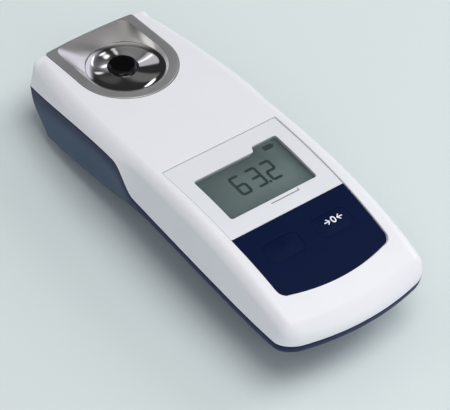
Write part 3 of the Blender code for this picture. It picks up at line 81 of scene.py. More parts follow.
# share of the grip at y, eased from 0 to 1 along its start
def gripShare(y):
    return eased((y - body["gripStartY"]) / (body["gripFullY"] - body["gripStartY"]))


# height of the seam: low near the keypad, an eased S up to the grip, then a fall as a power
def seamZ(y):
    start, end = body["climbStartY"], body["climbEndY"]
    share = eased((y - start) / (end - start))
    past = np.clip((y - end) / (body["halfLength"] - end), 0, 1)
    high = body["seamPeakRise"] - body["seamFarFall"] * past ** body["seamFallPower"]
    return body["lip"] + body["seamNearRise"] * (1 - share) + high * share


# height of the lower edge: level to mid-length, then a straight fall
def edgeZ(y):
    return body["lip"] - body["edgeDrop"] * np.clip(y / body["halfLength"], 0, 1)


# right half of a plan outline as x, y and how far each point faces near, side or far: straight
# ends, quarter-round corners and the tapered side, all bowed more toward the middle of each end
def planHalf(sideIn, nearIn, farIn, nearCorner=None, farCorner=None):
    count = planCount
    if nearCorner is None:
        nearCorner = max(body["nearCorner"] - (sideIn + nearIn) / 2, body["leastCorner"])
        farCorner = max(body["farCorner"] - (sideIn + farIn) / 2, body["leastCorner"])
    low, high = nearIn - body["halfLength"], body["halfLength"] - farIn
    nearHalf = halfWidth(low + nearCorner) - sideIn
    farHalf = halfWidth(high - farCorner) - sideIn
    turn = np.linspace(0, math.pi / 2, count["corner"] + 1)[1:]
    farTurn = np.linspace(0, math.pi / 2, count["farCorner"] + 1)[1:]
    sideY = np.linspace(low + nearCorner, high - farCorner, count["side"] + 1)[1:]
    x = np.concatenate([
        np.linspace(0, nearHalf - nearCorner, count["near"]),
        nearHalf - nearCorner * (1 - np.sin(turn)),
        halfWidth(sideY) - sideIn,
        farHalf - farCorner * (1 - np.cos(farTurn)),
        np.linspace(farHalf - farCorner, 0, count["far"])[1:],
    ])
    y = np.concatenate([
        np.full(count["near"], low),
        low + nearCorner * (1 - np.cos(turn)),
        sideY,
        high - farCorner * (1 - np.sin(farTurn)),
        np.full(count["far"] - 1, high),
    ])
    across = (x / body["halfWidth"]) ** 2
    y = (y + body["nearBow"] * across * np.clip(-y / body["halfLength"], 0, 1) ** body["bowPower"]
         - body["farBow"] * across * np.clip(y / body["halfLength"], 0, 1) ** body["bowPower"])
    near = np.concatenate([np.ones(count["near"]), np.cos(turn) ** 2,
                           np.zeros(count["side"] + count["farCorner"] + count["far"] - 1)])
    far = np.concatenate([np.zeros(count["near"] + count["corner"] + count["side"]),
                          np.sin(farTurn) ** 2, np.ones(count["far"] - 1)])
    return x, y, near, 1 - near - far, far


# a mirrored closed ring from a right half outline and its heights
def fullRing(x, y, z):
    right = np.column_stack([x, y, np.broadcast_to(z, x.shape)])
    return np.concatenate([right, right[-2:0:-1] * [-1, 1, 1]])


# points of an upright oval about x, y: its half sizes times cosine and sine
def ovalAt(x, y, halfWide, halfTall, count):
    angle = np.linspace(0, 2 * math.pi, count + 1)[:-1]
    return np.column_stack([x + halfWide * np.cos(angle), y + halfTall * np.sin(angle)])


# an outline lifted to one height, or to heights of its own
def lifted(outline, z):
    return np.column_stack([outline, np.broadcast_to(z, len(outline))])


# quads between successive rings of n points
def ringQuads(rings, n):
    i = np.arange(n)
    j = (i + 1) % n
    rows = [np.column_stack([k * n + i, k * n + j, (k + 1) * n + j, (k + 1) * n + i])
            for k in range(rings - 1)]
    return np.concatenate(rows)


# strips across a mirrored ring, joining each right point to its left twin
def stripFaces(n, base, flip):
    half = n // 2
    right = np.arange(half + 1)
    left = (n - right) % n
    faces = []
    for k in range(half):
        quad = [right[k], right[k + 1], left[k + 1], left[k]]
        quad = [q for i, q in enumerate(quad) if q not in quad[:i]]
        faces.append([int(base + q) for q in (quad[::-1] if flip else quad)])
    return faces


# a mesh object from points and a list of faces, with one look
def pieceFrom(name, points, faces, look=None):
    mesh = bpy.data.meshes.new(name)
    mesh.from_pydata(np.asarray(points, float).tolist(), [], faces)
    mesh.validate()
    obj = bpy.data.objects.new(name, mesh)
    bpy.context.scene.collection.objects.link(obj)
    if look is not None:
        mesh.materials.append(look)
    mesh.polygons.foreach_set("use_smooth", np.ones(len(mesh.polygons), bool))
    return obj


# a closed solid from mirrored rings, first ring lowest or innermost, closed by strips
def ringSolid(name, rings, look=None):
    n = len(rings[0])
    faces = ringQuads(len(rings), n).tolist()
    faces += stripFaces(n, 0, True)
    faces += stripFaces(n, (len(rings) - 1) * n, False)
    return pieceFrom(name, np.concatenate(rings), faces, look)


# a closed solid between stacked outlines of equal count, closed by two polygons
def stacked(name, levels, look=None):
    n = len(levels[0])
    faces = ringQuads(len(levels), n).tolist()
    faces.append(list(range(n))[::-1])
    faces.append([(len(levels) - 1) * n + i for i in range(n)])
    return pieceFrom(name, np.concatenate(levels), faces, look)


# how near and how alike a cut face lies to the uncut surface that it takes its normals from
smoothing = {"reach": 0.00002, "cornerTimes": 4, "facing": 0.7, "leastLength": 1e-20,
             "leastArea": 1e-30}


# a surface kept for its smooth normals: points, triangles and area-weighted vertex normals
def normalSource(points, faces):
    tris = []
    for f in faces:
        for k in range(1, len(f) - 1):
            tris.append((f[0], f[k], f[k + 1]))
    points, tris = np.asarray(points, float), np.asarray(tris)
    a, b, c = (points[tris[:, i]] for i in range(3))
    weight = np.cross(b - a, c - a)
    normals = np.zeros_like(points)
    for i in range(3):
        np.add.at(normals, tris[:, i], weight)
    length = np.linalg.norm(normals, axis=1, keepdims=True)
    normals /= np.maximum(length, smoothing["leastLength"])
    tree = BVHTree.FromPolygons([Vector(p) for p in points], [tuple(map(int, t)) for t in tris])
    return {"points": points, "tris": tris, "normals": normals, "tree": tree}


# the same for the skin through successive rings, with a strip across the last where it is topped
def ringSource(rings, topped=False):
    n = len(rings[0])
    faces = ringQuads(len(rings), n).tolist()
    if topped:
        faces += stripFaces(n, (len(rings) - 1) * n, False)
    return normalSource(np.concatenate(rings), faces)


# a source's normal at its place nearest to a point: its triangle's corner normals, each weighted
# by the share of the triangle that lies across from it
def smoothNormal(source, point, reach):
    place, normal, index, away = source["tree"].find_nearest(point)
    if index is None or away > reach:
        return None
    corners = source["tris"][index]
    a, b, c = source["points"][corners]
    u, v, w = b - a, c - a, np.array(place) - a
    uu, uv, vv, wu, wv = u @ u, u @ v, v @ v, w @ u, w @ v
    under = uu * vv - uv * uv
    if abs(under) < smoothing["leastArea"]:
        return None
    s, t = (wu * vv - wv * uv) / under, (wv * uu - wu * uv) / under
    first, second, third = source["normals"][corners]
    mixed = (1 - s - t) * first + s * second + t * third
    return mixed / max(np.linalg.norm(mixed), smoothing["leastLength"])


# smooth normals of a cut piece, read off its uncut surfaces; the rest is flat
def normalsFrom(obj, sources, reach=smoothing["reach"]):
    mesh = obj.data
    custom = np.zeros((len(mesh.loops), 3))
    for face in mesh.polygons:
        picked, side = None, 1
        for source, sign in sources:
            place, normal, index, away = source["tree"].find_nearest(face.center)
            if place is None or away >= reach:
                continue
            if normal.dot(face.normal) * sign > smoothing["facing"]:
                picked, side = source, sign
                break
        for k in face.loop_indices:
            custom[k] = face.normal
            if picked is not None:
                corner = mesh.vertices[mesh.loops[k].vertex_index].co
                found = smoothNormal(picked, corner, reach * smoothing["cornerTimes"])
                if found is not None:
                    custom[k] = side * found
    mesh.normals_split_custom_set(custom.tolist())
    mesh.update()


# takes other closed shapes away from a piece and keeps the outcome as its mesh
def carved(obj, cutters):
    for cutter in cutters:
        cut = obj.modifiers.new("cut", "BOOLEAN")
        cut.operation = "DIFFERENCE"
        cut.solver = "EXACT"
        cut.object = cutter
    graph = bpy.context.evaluated_depsgraph_get()
    done = bpy.data.meshes.new_from_object(obj.evaluated_get(graph))
    obj.modifiers.clear()
    obj.data = done
    for cutter in cutters:
        bpy.data.objects.remove(cutter, do_unlink=True)
    done.polygons.foreach_set("use_smooth", np.ones(len(done.polygons), bool))
    return obj


# sockets of the colour mix node, and what all looks share
mixSocket = {"factor": 0, "first": 6, "second": 7, "result": 2}
lookNoise = {"low": 0.3, "high": 0.7, "fineDetail": 3, "broadDetail": 2, "rougher": 0.08,
             "reliefDepth": 0.00002}


# a mix of two colours, or of a colour socket and a colour, by a factor socket
def colourMix(tree, factor, first, second):
    node = tree.nodes.new("ShaderNodeMix")
    node.data_type = "RGBA"
    tree.links.new(factor, node.inputs[mixSocket["factor"]])
    if isinstance(first, tuple):
        node.inputs[mixSocket["first"]].default_value = (*first, 1)
    else:
        tree.links.new(first, node.inputs[mixSocket["first"]])
    node.inputs[mixSocket["second"]].default_value = (*second, 1)
    return node.outputs[mixSocket["result"]]


# a principled look with uneven colour, roughness and fine relief from noise; the optional last
# colour is painted shade, which the base turns to where the piece's painted seam-shade value rises
# to 1
def makeLook(name, colour, roughness, metallic=0.0, grain=2600, relief=0.03, uneven=0.04,
             cloud=60, specular=0.5, alpha=1.0, paintedShade=None):
    look = bpy.data.materials.new(name)
    look.use_nodes = True
    tree = look.node_tree
    shader = tree.nodes["Principled BSDF"]
    shader.inputs["Metallic"].default_value = metallic
    shader.inputs["Specular IOR Level"].default_value = specular
    shader.inputs["Alpha"].default_value = alpha
    place = tree.nodes.new("ShaderNodeTexCoord")

    # noise over the piece's own places
    def noise(scale, detail):
        node = tree.nodes.new("ShaderNodeTexNoise")
        node.inputs["Scale"].default_value = scale
        node.inputs["Detail"].default_value = detail
        tree.links.new(place.outputs["Object"], node.inputs["Vector"])
        return node.outputs["Fac"]

    # the middle of a noise's values spread from low to high
    def ranged(value, low, high):
        node = tree.nodes.new("ShaderNodeMapRange")
        node.inputs["From Min"].default_value = lookNoise["low"]
        node.inputs["From Max"].default_value = lookNoise["high"]
        node.inputs["To Min"].default_value = low
        node.inputs["To Max"].default_value = high
        tree.links.new(value, node.inputs["Value"])
        return node.outputs["Result"]

    fine, broad = noise(grain, lookNoise["fineDetail"]), noise(cloud, lookNoise["broadDetail"])
    rougher = roughness * lookNoise["rougher"]
    tree.links.new(ranged(broad, roughness - rougher, roughness + rougher),
                   shader.inputs["Roughness"])
    darker = tuple(c * (1 - uneven) for c in colour)
    lighter = tuple(min(c * (1 + uneven), 1) for c in colour)
    tone = colourMix(tree, ranged(broad, 0, 1), darker, lighter)
    # painted shade: the colour darkens toward the seam, standing in for the white shell's overhang
    # shadow
    if paintedShade:
        near = tree.nodes.new("ShaderNodeAttribute")
        near.attribute_name = "paintedSeamShade"
        rise = tree.nodes.new("ShaderNodeMapRange")
        rise.interpolation_type = "SMOOTHSTEP"
        tree.links.new(near.outputs["Fac"], rise.inputs["Value"])
        tone = colourMix(tree, rise.outputs["Result"], tone, paintedShade)
    tree.links.new(tone, shader.inputs["Base Color"])
    bump = tree.nodes.new("ShaderNodeBump")
    bump.inputs["Strength"].default_value = relief
    bump.inputs["Distance"].default_value = lookNoise["reliefDepth"]
    tree.links.new(fine, bump.inputs["Height"])
    tree.links.new(bump.outputs["Normal"], shader.inputs["Normal"])
    return look


finishes = {
    "whiteShell": dict(colour=(0.79, 0.795, 0.825), roughness=0.34, relief=0.05, uneven=0.01,
                       specular=0.35),
    # the blue shell's second, darker colour is painted shade under the white shell's overhang, not
    # a dye
    "blueShellWithPaintedShade": dict(colour=(0.078, 0.112, 0.17), roughness=0.42, relief=0.08, uneven=0.06,
                      specular=0.14, paintedShade=(0.010, 0.017, 0.07)),
    "stageSteel": dict(colour=(0.60, 0.60, 0.59), roughness=0.36, metallic=1.0, relief=0.12,
                       uneven=0.05, grain=5200),
    "funnelSteel": dict(colour=(0.88, 0.865, 0.86), roughness=0.19, metallic=1.0, relief=0.03,
                        uneven=0.03, grain=900),
    "dishSteel": dict(colour=(0.80, 0.79, 0.80), roughness=0.035, metallic=1.0, relief=0.015,
                      uneven=0.02, grain=240),
    "prismGlass": dict(colour=(0.003, 0.0025, 0.003), roughness=0.06, relief=0.01, specular=0.3),
    "blackRubber": dict(colour=(0.02, 0.02, 0.022), roughness=0.7, relief=0.3, uneven=0.1),
    "blackPlastic": dict(colour=(0.025, 0.025, 0.03), roughness=0.5, relief=0.2, uneven=0.1),
    "navyFilm": dict(colour=(0.0022, 0.0072, 0.036), roughness=0.5, relief=0.05, uneven=0.06,
                     specular=0.04),
    "labelFilm": dict(colour=(0.72, 0.74, 0.77), roughness=0.45, relief=0.08, uneven=0.012,
                      specular=0.3),
    "windowPlastic": dict(colour=(0.03, 0.045, 0.045), roughness=0.12, relief=0.01,
                          specular=0.12, alpha=0.12),
    "displayGlass": dict(colour=(0.19, 0.25, 0.248), roughness=0.5, relief=0.03, uneven=0.05,
                         cloud=90, specular=0.15),
    "displayInk": dict(colour=(0.042, 0.062, 0.06), roughness=0.5, relief=0.02, specular=0.1),
    "boardGreen": dict(colour=(0.02, 0.13, 0.055), roughness=0.4, relief=0.4, uneven=0.25,
                       grain=900, cloud=700),
    "palePlastic": dict(colour=(0.5, 0.51, 0.53), roughness=0.45, relief=0.1),
    "clearLens": dict(colour=(0.6, 0.66, 0.7), roughness=0.06, relief=0.01, alpha=0.6),
    "amberLamp": dict(colour=(0.75, 0.42, 0.06), roughness=0.12, relief=0.02),
    "brightMetal": dict(colour=(0.62, 0.61, 0.59), roughness=0.28, metallic=1.0, relief=0.1,
                        uneven=0.08),
    "copperFilm": dict(colour=(0.45, 0.22, 0.08), roughness=0.4, relief=0.1, uneven=0.1),
    "cellWrap": dict(colour=(0.12, 0.14, 0.17), roughness=0.3, relief=0.05, uneven=0.06),
    "whiteInk": dict(colour=(0.86, 0.87, 0.9), roughness=0.4, relief=0.03),
    "greyInk": dict(colour=(0.16, 0.165, 0.19), roughness=0.5, relief=0.03),
}
looks = {name: makeLook(name, **finish) for name, finish in finishes.items()}
print("looks made")

# outlines on the top face: the panel's recess with its films, the display opening and the keys
panel = {"recess": 0.00075, "flare": 0.00022, "topY": 0.0028, "topHalf": 0.0209, "midY": -0.029,
         "midHalf": 0.0206, "lowY": -0.052, "lowHalf": 0.0201, "bow": 0.0022,
         "corner": 0.0032, "cornerFrom": 0.45, "flareSteps": 6}
panelCount = {"bow": 26, "corner": 9, "side": 70, "end": 12}
film = {"top": 0.0003, "thick": 0.0003, "gap": 0.00022, "edge": 0.00008, "edgeFrom": 0.3,
        "labelUp": 0.00006, "padDown": 0.00004, "leastStep": 0.0001, "sideCount": 60,
        "edgeSteps": 4}
screen = {"half": 0.0156, "lowY": -0.0229, "highY": -0.0054, "tabRise": 0.0020,
          "tabLeft": 0.0064, "tabSlant": 0.0009, "corner": 0.0009, "lean": 0.0004,
          "labelGap": 0.0001, "shellGap": 0.0003}
key = {"x": 0.0089, "y": -0.0386, "half": 0.0061, "tall": 0.0035, "corner": 0.0022,
       "cornerSteps": 12, "sunk": 0.00004, "rise": 0.0005, "domePower": 0.8, "edge": 0.00012,
       "gap": 0.00008, "stem": 0.0015, "stemLow": 0.02517, "stemTop": 0.0271, "stemCount": 32,
       "hole": 0.0019, "holeLow": 0.0195, "holeCount": 40}
# heights that a cutter of the top face or the underside runs to, to pass right through
past = {"top": 0.034, "label": 0.02, "keypad": 0.015, "window": 0.023, "under": -0.004}


# half the panel's width at y, straight between its middle and its top
def panelSide(y):
    share = (y - panel["midY"]) / (panel["topY"] - panel["midY"])
    return panel["midHalf"] + (panel["topHalf"] - panel["midHalf"]) * share


# right half of the panel outline set in: bowed bottom, round corner, straight sides, flat top
def panelHalf(inset):
    count = panelCount
    turn, half = panel["corner"], panel["lowHalf"] - inset
    lowY = panel["lowY"] + inset
    share = np.linspace(0, 1, count["bow"])
    angle = np.linspace(panel["cornerFrom"], math.pi / 2, count["corner"])
    sideY = np.linspace(lowY + turn, panel["topY"] - inset, count["side"])[1:]
    sideX = np.where(
        sideY < panel["midY"],
        half + (panel["midHalf"] - inset - half) * (sideY - lowY - turn)
        / (panel["midY"] - lowY - turn),
        panelSide(sideY) - inset)
    x = np.concatenate([(half - turn) * share, half - turn * (1 - np.sin(angle)), sideX,
                        np.linspace(sideX[-1], 0, count["end"])[1:]])
    y = np.concatenate([lowY - panel["bow"] * (1 - share**2),
                        lowY + turn - turn * np.cos(angle), sideY,
                        np.full(count["end"] - 1, sideY[-1])])
    return x, y


# a polygon with each corner rounded by an arc that touches both sides
def roundedPolygon(corners, radius, steps=8):
    points = []
    for i in range(len(corners)):
        here = Vector(corners[i])
        back = (Vector(corners[i - 1]) - here).normalized()
        ahead = (Vector(corners[(i + 1) % len(corners)]) - here).normalized()
        half = back.angle(ahead) / 2
        centre = here + (back + ahead).normalized() * (radius / math.sin(half))
        start = here + back * (radius / math.tan(half)) - centre
        turn = start.angle_signed(here + ahead * (radius / math.tan(half)) - centre)
        for k in range(steps + 1):
            angle = -turn * k / steps
            points.append((centre.x + start.x * math.cos(angle) - start.y * math.sin(angle),
                           centre.y + start.x * math.sin(angle) + start.y * math.cos(angle)))
    return np.array(points)


# the same for an upright rectangle
def roundedBox(left, low, right, high, radius, steps=8):
    return roundedPolygon([(left, low), (right, low), (right, high), (left, high)], radius, steps)


# display opening with the raised tab at its upper right
def screenOutline(inset):
    half, high = screen["half"] - inset, screen["highY"] - inset
    return roundedPolygon([
        (-half, screen["lowY"] + inset), (half, screen["lowY"] + inset),
        (half + screen["lean"], high + screen["tabRise"]),
        (screen["tabLeft"] + screen["tabSlant"] + inset, high + screen["tabRise"]),
        (screen["tabLeft"] + inset, high), (-half, high)], screen["corner"])


# outline of the left (-1) or right (1) key, grown
def keyOutline(side, grow):
    x, y = side * key["x"], key["y"]
    half, tall = key["half"] + grow, key["tall"] + grow
    return roundedBox(x - half, y - tall, x + half, y + tall, key["corner"] + grow,
                      key["cornerSteps"])


# stage plane: level at its near edge, falling toward the far end
stage = {"y": 0.04743, "half": 0.01595, "slope": -0.105, "far": 0.01847, "thick": 0.001,
         "corner": 0.0004, "edge": 0.00014, "edgeSteps": 6, "underEdge": 0.0001,
         "flatFrom": 0.0003,
         "bossIn": 0.0021, "bossDepth": 0.0029, "gap": 0.0003,
         "pocketFlare": 0.00016, "flareSteps": 5, "pocketPast": 0.004, "wellFar": 0.01637,
         "wellReach": 0.004, "funnelHalf": 0.0131, "funnelFar": 0.0176, "funnelPower": 11}
stageCount = {"round": 49, "straight": 15, "corner": 6, "far": 16}
stage["tilt"] = math.atan(stage["slope"])
stageNear = stage["y"] - stage["half"]
stage["z"] = float(topZ(stageNear)) + stage["slope"] * (stage["y"] - stageNear)
stageTurn = Matrix.Translation((0, stage["y"], stage["z"])) @ Matrix.Rotation(
    stage["tilt"], 4, "X")


# points of the tilted stage plane put into the object's own frame
def onStage(points):
    points = np.asarray(points, float)
    turn = np.array(stageTurn)
    return points @ turn[:3, :3].T + turn[:3, 3]


# right half of the stage outline grown by a gap: half circle, then straight to the far edge
def stageHalf(grow, far):
    count, half, corner = stageCount, stage["half"] + grow, stage["corner"]
    angle = np.linspace(-math.pi / 2, 0, count["round"])
    farX = np.linspace(half - corner, 0, count["far"])
    turn = np.linspace(0, math.pi / 2, count["corner"])[1:]
    farY = far - body["farBow"] * (farX / body["halfWidth"]) ** 2
    straight = np.linspace(0, farY[0] - corner, count["straight"])[1:]
    x = np.concatenate([half * np.cos(angle), np.full(len(straight), half),
                        half - corner * (1 - np.cos(turn)), farX[1:]])
    y = np.concatenate([half * np.sin(angle), straight,
                        farY[0] - corner * (1 - np.sin(turn)), farY[1:]])
    return x, y


# rings of a cutter for a recess with a flared edge: its floor, a quarter round that opens to just
# under the skin, and one past it; halfAt(grow) is the outline, skinAt(y) the skin's height
def flaredRings(halfAt, skinAt, depth, flare, steps, rise):
    under, lastTurn = 0.00001, math.radians(72)
    x, y = halfAt(0)
    rings = [fullRing(x, y, skinAt(y) - depth)]
    for turn in np.linspace(0, lastTurn, steps):
        x, y = halfAt(flare * (1 - math.cos(turn)))
        rings.append(fullRing(x, y, skinAt(y) - flare * (1 - math.sin(turn)) - under))
    rings.append(rings[-1] + [0, 0, rise])
    return rings


# lean and round are how far each side of the upper shell leans and rounds in
topShell = {
    "sideLean": 0.0021, "sideRound": 0.0029, "nearLean": 0.0009, "nearRound": 0.0047,
    "farLean": 0.00004, "farRound": 0.0007, "roundSteps": 15, "mostDropShare": 0.9,
    "wallShares": (0.3, 0.6, 0.85), "edge": 0.00018, "edgeSteps": 5, "wall": 0.0019,
    "roof": 0.0018, "innerSide": 0.00055, "innerRound": 0.0026, "innerSteps": 5,
    "innerRoomShare": 0.85, "panelRise": 0.003,
}


# outer rings of the upper shell, top to seam: quarter ellipses in from the outline with a lean
# that spreads over the wall's whole height, straight rows to the foot, and a small round edge
def topSkinRings():
    rings = []
    for turn in np.linspace(0, math.pi / 2, topShell["roundSteps"]):
        sink, inward = 1 - math.cos(turn), 1 - math.sin(turn)
        x, y, near, side, far = planHalf(
            topShell["sideRound"] * inward, topShell["nearRound"] * inward,
            topShell["farRound"] * inward)
        tall = topZ(y) - seamZ(y) - body["seamGap"] / 2
        drop = sink * (side * topShell["sideRound"] + near * topShell["nearRound"]
                       + far * topShell["farRound"])
        drop = np.minimum(drop, tall * sink * topShell["mostDropShare"])
        left = 1 - drop / tall
        x = x - left * side * topShell["sideLean"]
        y = y + left * (near * topShell["nearLean"] - far * topShell["farLean"])
        rings.append(fullRing(x, y, topZ(y) - drop))
    last = rings[-1]
    x, y, *_ = planHalf(0, 0, 0)
    foot = fullRing(x, y, seamZ(y) + body["seamGap"] / 2)
    rings += [last + (foot - last) * share for share in topShell["wallShares"]]
    for turn in np.linspace(0, math.pi / 2, topShell["edgeSteps"]):
        inset = topShell["edge"] * (1 - math.cos(turn))
        x, y, *_ = planHalf(inset, inset, inset)
        rings.append(fullRing(x, y, seamZ(y) + body["seamGap"] / 2
                              + topShell["edge"] * (1 - math.sin(turn))))
    return rings


# inner rings of the upper shell, seam to ceiling: set in by the wall, then a quarter round
def topInnerRings():
    wall = topShell["wall"]
    x, y, *_ = planHalf(wall, wall, wall)
    rings = [fullRing(x, y, seamZ(y) + body["seamGap"] / 2)]
    for turn in np.linspace(math.pi / 2, 0, topShell["innerSteps"]):
        sink, inward = 1 - math.cos(turn), 1 - math.sin(turn)
        rounding = topShell["innerRound"] * inward
        x, y, *_ = planHalf(wall + topShell["innerSide"] + rounding,
                            wall + topShell["nearRound"] / 2 + rounding,
                            wall + topShell["farLean"] + topShell["farRound"] * inward)
        ceiling = topZ(y) - topShell["roof"]
        room = (ceiling - seamZ(y) - body["seamGap"] / 2) * topShell["innerRoomShare"]
        rings.append(fullRing(x, y, ceiling - np.minimum(topShell["innerRound"], room) * sink))
    return rings


# panel recess with a rounded edge that follows the arch
def recessRings():
    return flaredRings(lambda grow: panelHalf(-grow), topZ, panel["recess"], panel["flare"],
                       panel["flareSteps"], topShell["panelRise"])


# stage pocket with a rounded edge, in the tilted plane and open at the far end
def pocketRings():
    far = body["halfLength"] - stage["y"] + stage["pocketPast"]
    rings = flaredRings(lambda grow: stageHalf(stage["gap"] + grow, far), lambda y: 0,
                        stage["thick"] + stage["gap"], stage["pocketFlare"],
                        stage["flareSteps"], stage["pocketPast"])
    return [onStage(ring) for ring in rings]


# white upper shell: rounded outer skin down to the seam, inner skin, and its cut-outs
def makeTopHousing():
    skinRings = topSkinRings()
    rings = skinRings + topInnerRings()
    n = len(rings[0])
    topStrip = stripFaces(n, 0, False)
    faces = (ringQuads(len(rings), n)[:, ::-1].tolist() + topStrip
             + stripFaces(n, (len(rings) - 1) * n, True))
    shell = pieceFrom("topHousing", np.concatenate(rings), faces, looks["whiteShell"])
    skinFaces = ringQuads(len(skinRings), n)[:, ::-1].tolist() + topStrip
    recess, pocket = recessRings(), pocketRings()
    sources = [(normalSource(np.concatenate(skinRings), skinFaces), 1),
               (ringSource(recess), -1), (ringSource(pocket), -1)]
    x, y = stageHalf(stage["gap"] - stage["bossIn"], stage["wellFar"])
    well = [onStage(fullRing(x, y, z)) for z in (-stage["wellReach"], stage["wellReach"])]
    window = screenOutline(-screen["shellGap"])
    cutters = [ringSolid("recessCut", recess), ringSolid("pocketCut", pocket),
               ringSolid("wellCut", well),
               stacked("windowCut", [lifted(window, past["window"]),
                                     lifted(window, past["top"])])]
    for side in (-1, 1):
        hole = ovalAt(side * key["x"], key["y"], key["hole"], key["hole"],
                      key["holeCount"])
        cutters.append(stacked("stemCut", [lifted(hole, key["holeLow"]),
                                           lifted(hole, past["top"])]))
    carved(shell, cutters)
    normalsFrom(shell, sources)
    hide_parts("top_housing")
    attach(shell, "housing")
    return shell


topHousing = makeTopHousing()
print("top housing", len(topHousing.data.polygons))

# the first entry is how far below the seam the painted shade on the blue fades out
bottomShell = {"seamShadeDepth": 0.0088, "overhang": 0.0023, "hollow": 0.0018, "narrowing": 0.01092,
               "rake": 0.012, "wall": 0.0019, "floor": 0.0016, "rowSteps": 4, "reach": 0.00003,
               "bayHalf": 0.0115, "bayNear": -0.04215, "bayFar": 0.01655, "bayCorner": 0.0023,
               "bayTop": 0.00175, "bore": 0.0021, "boreTop": 0.0141, "boreCount": 32,
               "bores": ((0.0095, -0.0475), (0.0145, 0.027))}
# shares of each ring: its level at the grip and near, then lip, hollow, lean, rake and lift
outerShares = np.array([
    (0, 0, 0, 0, 0, 0, 0), (0.25, 0.4, 0.03, 0.6, 0, 0.094, 0),
    (0.55, 0.75, 0.12, 1, 0, 0.31, 0), (0.7, 0.85, 0.2, 0.9, 0, 0.525, 0),
    (0.85, 0.93, 0.3, 0.6, 0, 0.755, 0), (1, 1, 0.6, 0.25, 0, 1, 0),
    (1.05, 1.004, 1, 0.3, 0.0256, 1.02, 0), (1.14, 1.1, 1, 0.3, 0.1538, 1.06, 0),
    (1.45, 1.42, 1, 0.3, 0.3974, 1.14, 0), (1.8, 1.78, 1, 0.3, 0.6923, 1.19, 0),
    (1.93, 1.92, 1, 0.3, 0.8333, 1.21, 0), (2, 2, 1, 0.3, 1, 1.25, 0)])
innerShares = np.array([
    (0, 0, 0, 0, 0, 0, 0), (0.45, 0.5, 0.05, 1, 0, 0.22, 0.1),
    (0.85, 0.6, 0.1, 0.8, 0, 0.755, 0.2), (1.14, 1.1, 1, 0.3, 0.1667, 1.06, 0.6),
    (1.45, 1.42, 1, 0.3, 0.3974, 1.14, 0.5), (1.8, 1.78, 1, 0.3, 0.6667, 1.19, 0.5),
    (2, 2, 1, 0.3, 0.8974, 1.22, 1)])


# rows between given rows of shares: cubic arcs whose slopes never overshoot, each column by itself
def finerRows(shares, steps):
    rise = np.diff(shares, axis=0)
    slope = np.zeros_like(shares)
    both = rise[:-1] * rise[1:] > 0
    slope[1:-1] = np.where(both, 2 * rise[:-1] * rise[1:] / np.where(both, rise[:-1] + rise[1:], 1),
                           0)
    slope[0], slope[-1] = rise[0], rise[-1]
    fine = []
    for k in range(len(rise)):
        for t in np.linspace(0, 1, steps + 1)[:-1]:
            fine.append(shares[k] * (1 + 2 * t) * (1 - t) ** 2 + slope[k] * t * (1 - t) ** 2
                        + shares[k + 1] * t * t * (3 - 2 * t) + slope[k + 1] * t * t * (t - 1))
    return fine + [shares[-1]]


# one ring of the lower shell: levels 0 to 1 from the seam to the edge, 1 to 2 to the underside;
# the set-in is the lip's overhang near, the grip's fading hollow far, and a lean with depth
def bottomRing(gripLevel, nearLevel, lipShare, hollowShare, leanShare, rakeShare, liftShare,
               extra):
    probe = planHalf(0, 0, 0)
    share = gripShare(probe[1])
    fade = np.clip((body["halfLength"] - probe[1]) / body["gripFade"], 0, 1)
    inset = (lipShare * bottomShell["overhang"] * (1 - share)
             + hollowShare * bottomShell["hollow"] * share * fade)
    inset = inset + leanShare * bottomShell["narrowing"] * edgeZ(probe[1]) / body["lip"] + extra
    nearIn, farIn = float(inset[0]), float(inset[-1])
    x, y, *_ = planHalf(
        0, nearIn, farIn + bottomShell["rake"] * rakeShare,
        max(body["nearCorner"] - nearIn / 2, body["nearCorner"] / 2),
        max(body["farCorner"] - farIn / 2, body["farCorner"] / 2))
    run = slice(planCount["near"], -planCount["far"])
    x = x * (1 - np.interp(y, probe[1][run], inset[run]) / halfWidth(y))
    share = gripShare(y)
    level = nearLevel * (1 - share) + gripLevel * share
    seam, edge = seamZ(y) - body["seamGap"] / 2, edgeZ(y)
    z = np.where(level < 1, seam + (edge - seam) * level, edge * (2 - level))
    return fullRing(x, y, z + bottomShell["floor"] * liftShare)


# battery bay and screw bores, cut from below
def bottomCutters():
    bay = roundedBox(-bottomShell["bayHalf"], bottomShell["bayNear"], bottomShell["bayHalf"],
                     bottomShell["bayFar"], bottomShell["bayCorner"])
    cutters = [stacked("bayCut", [lifted(bay, past["under"]),
                                  lifted(bay, bottomShell["bayTop"])])]
    for half, y in bottomShell["bores"]:
        for side in (-1, 1):
            bore = ovalAt(side * half, y, bottomShell["bore"], bottomShell["bore"],
                          bottomShell["boreCount"])
            cutters.append(stacked("boreCut", [lifted(bore, past["under"]),
                                               lifted(bore, bottomShell["boreTop"])]))
    return cutters


# painted shade under the white shell's overhang: 1 at the seam, falling evenly to 0 at the shade
# depth below it
def paintSeamShade(mesh):
    place = np.zeros(len(mesh.vertices) * 3)
    mesh.vertices.foreach_get("co", place)
    below = seamZ(place[1::3]) - place[2::3]
    near = mesh.attributes.new("paintedSeamShade", "FLOAT", "POINT")
    near.data.foreach_set("value", np.clip(1 - below / bottomShell["seamShadeDepth"], 0, 1))


# dark blue lower shell: thin lip, hollowed grip, bow at the far end and a flat underside
def makeBottomHousing():
    skinRings = [bottomRing(*row, 0) for row in finerRows(outerShares, bottomShell["rowSteps"])]
    skinRings = skinRings[::-1]
    rings = skinRings + [bottomRing(*row, bottomShell["wall"]) for row in innerShares]
    shell = ringSolid("bottomHousing", rings, looks["blueShellWithPaintedShade"])
    skin = ringSource(skinRings)
    carved(shell, bottomCutters())
    normalsFrom(shell, [(skin, 1)], bottomShell["reach"])
    # paints shade on the blue just under the white shell's overhang
    paintSeamShade(shell.data)
    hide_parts("bottom_housing")
    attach(shell, "housing")
    return shell


bottomHousing = makeBottomHousing()
print("bottom housing", len(bottomHousing.data.polygons))


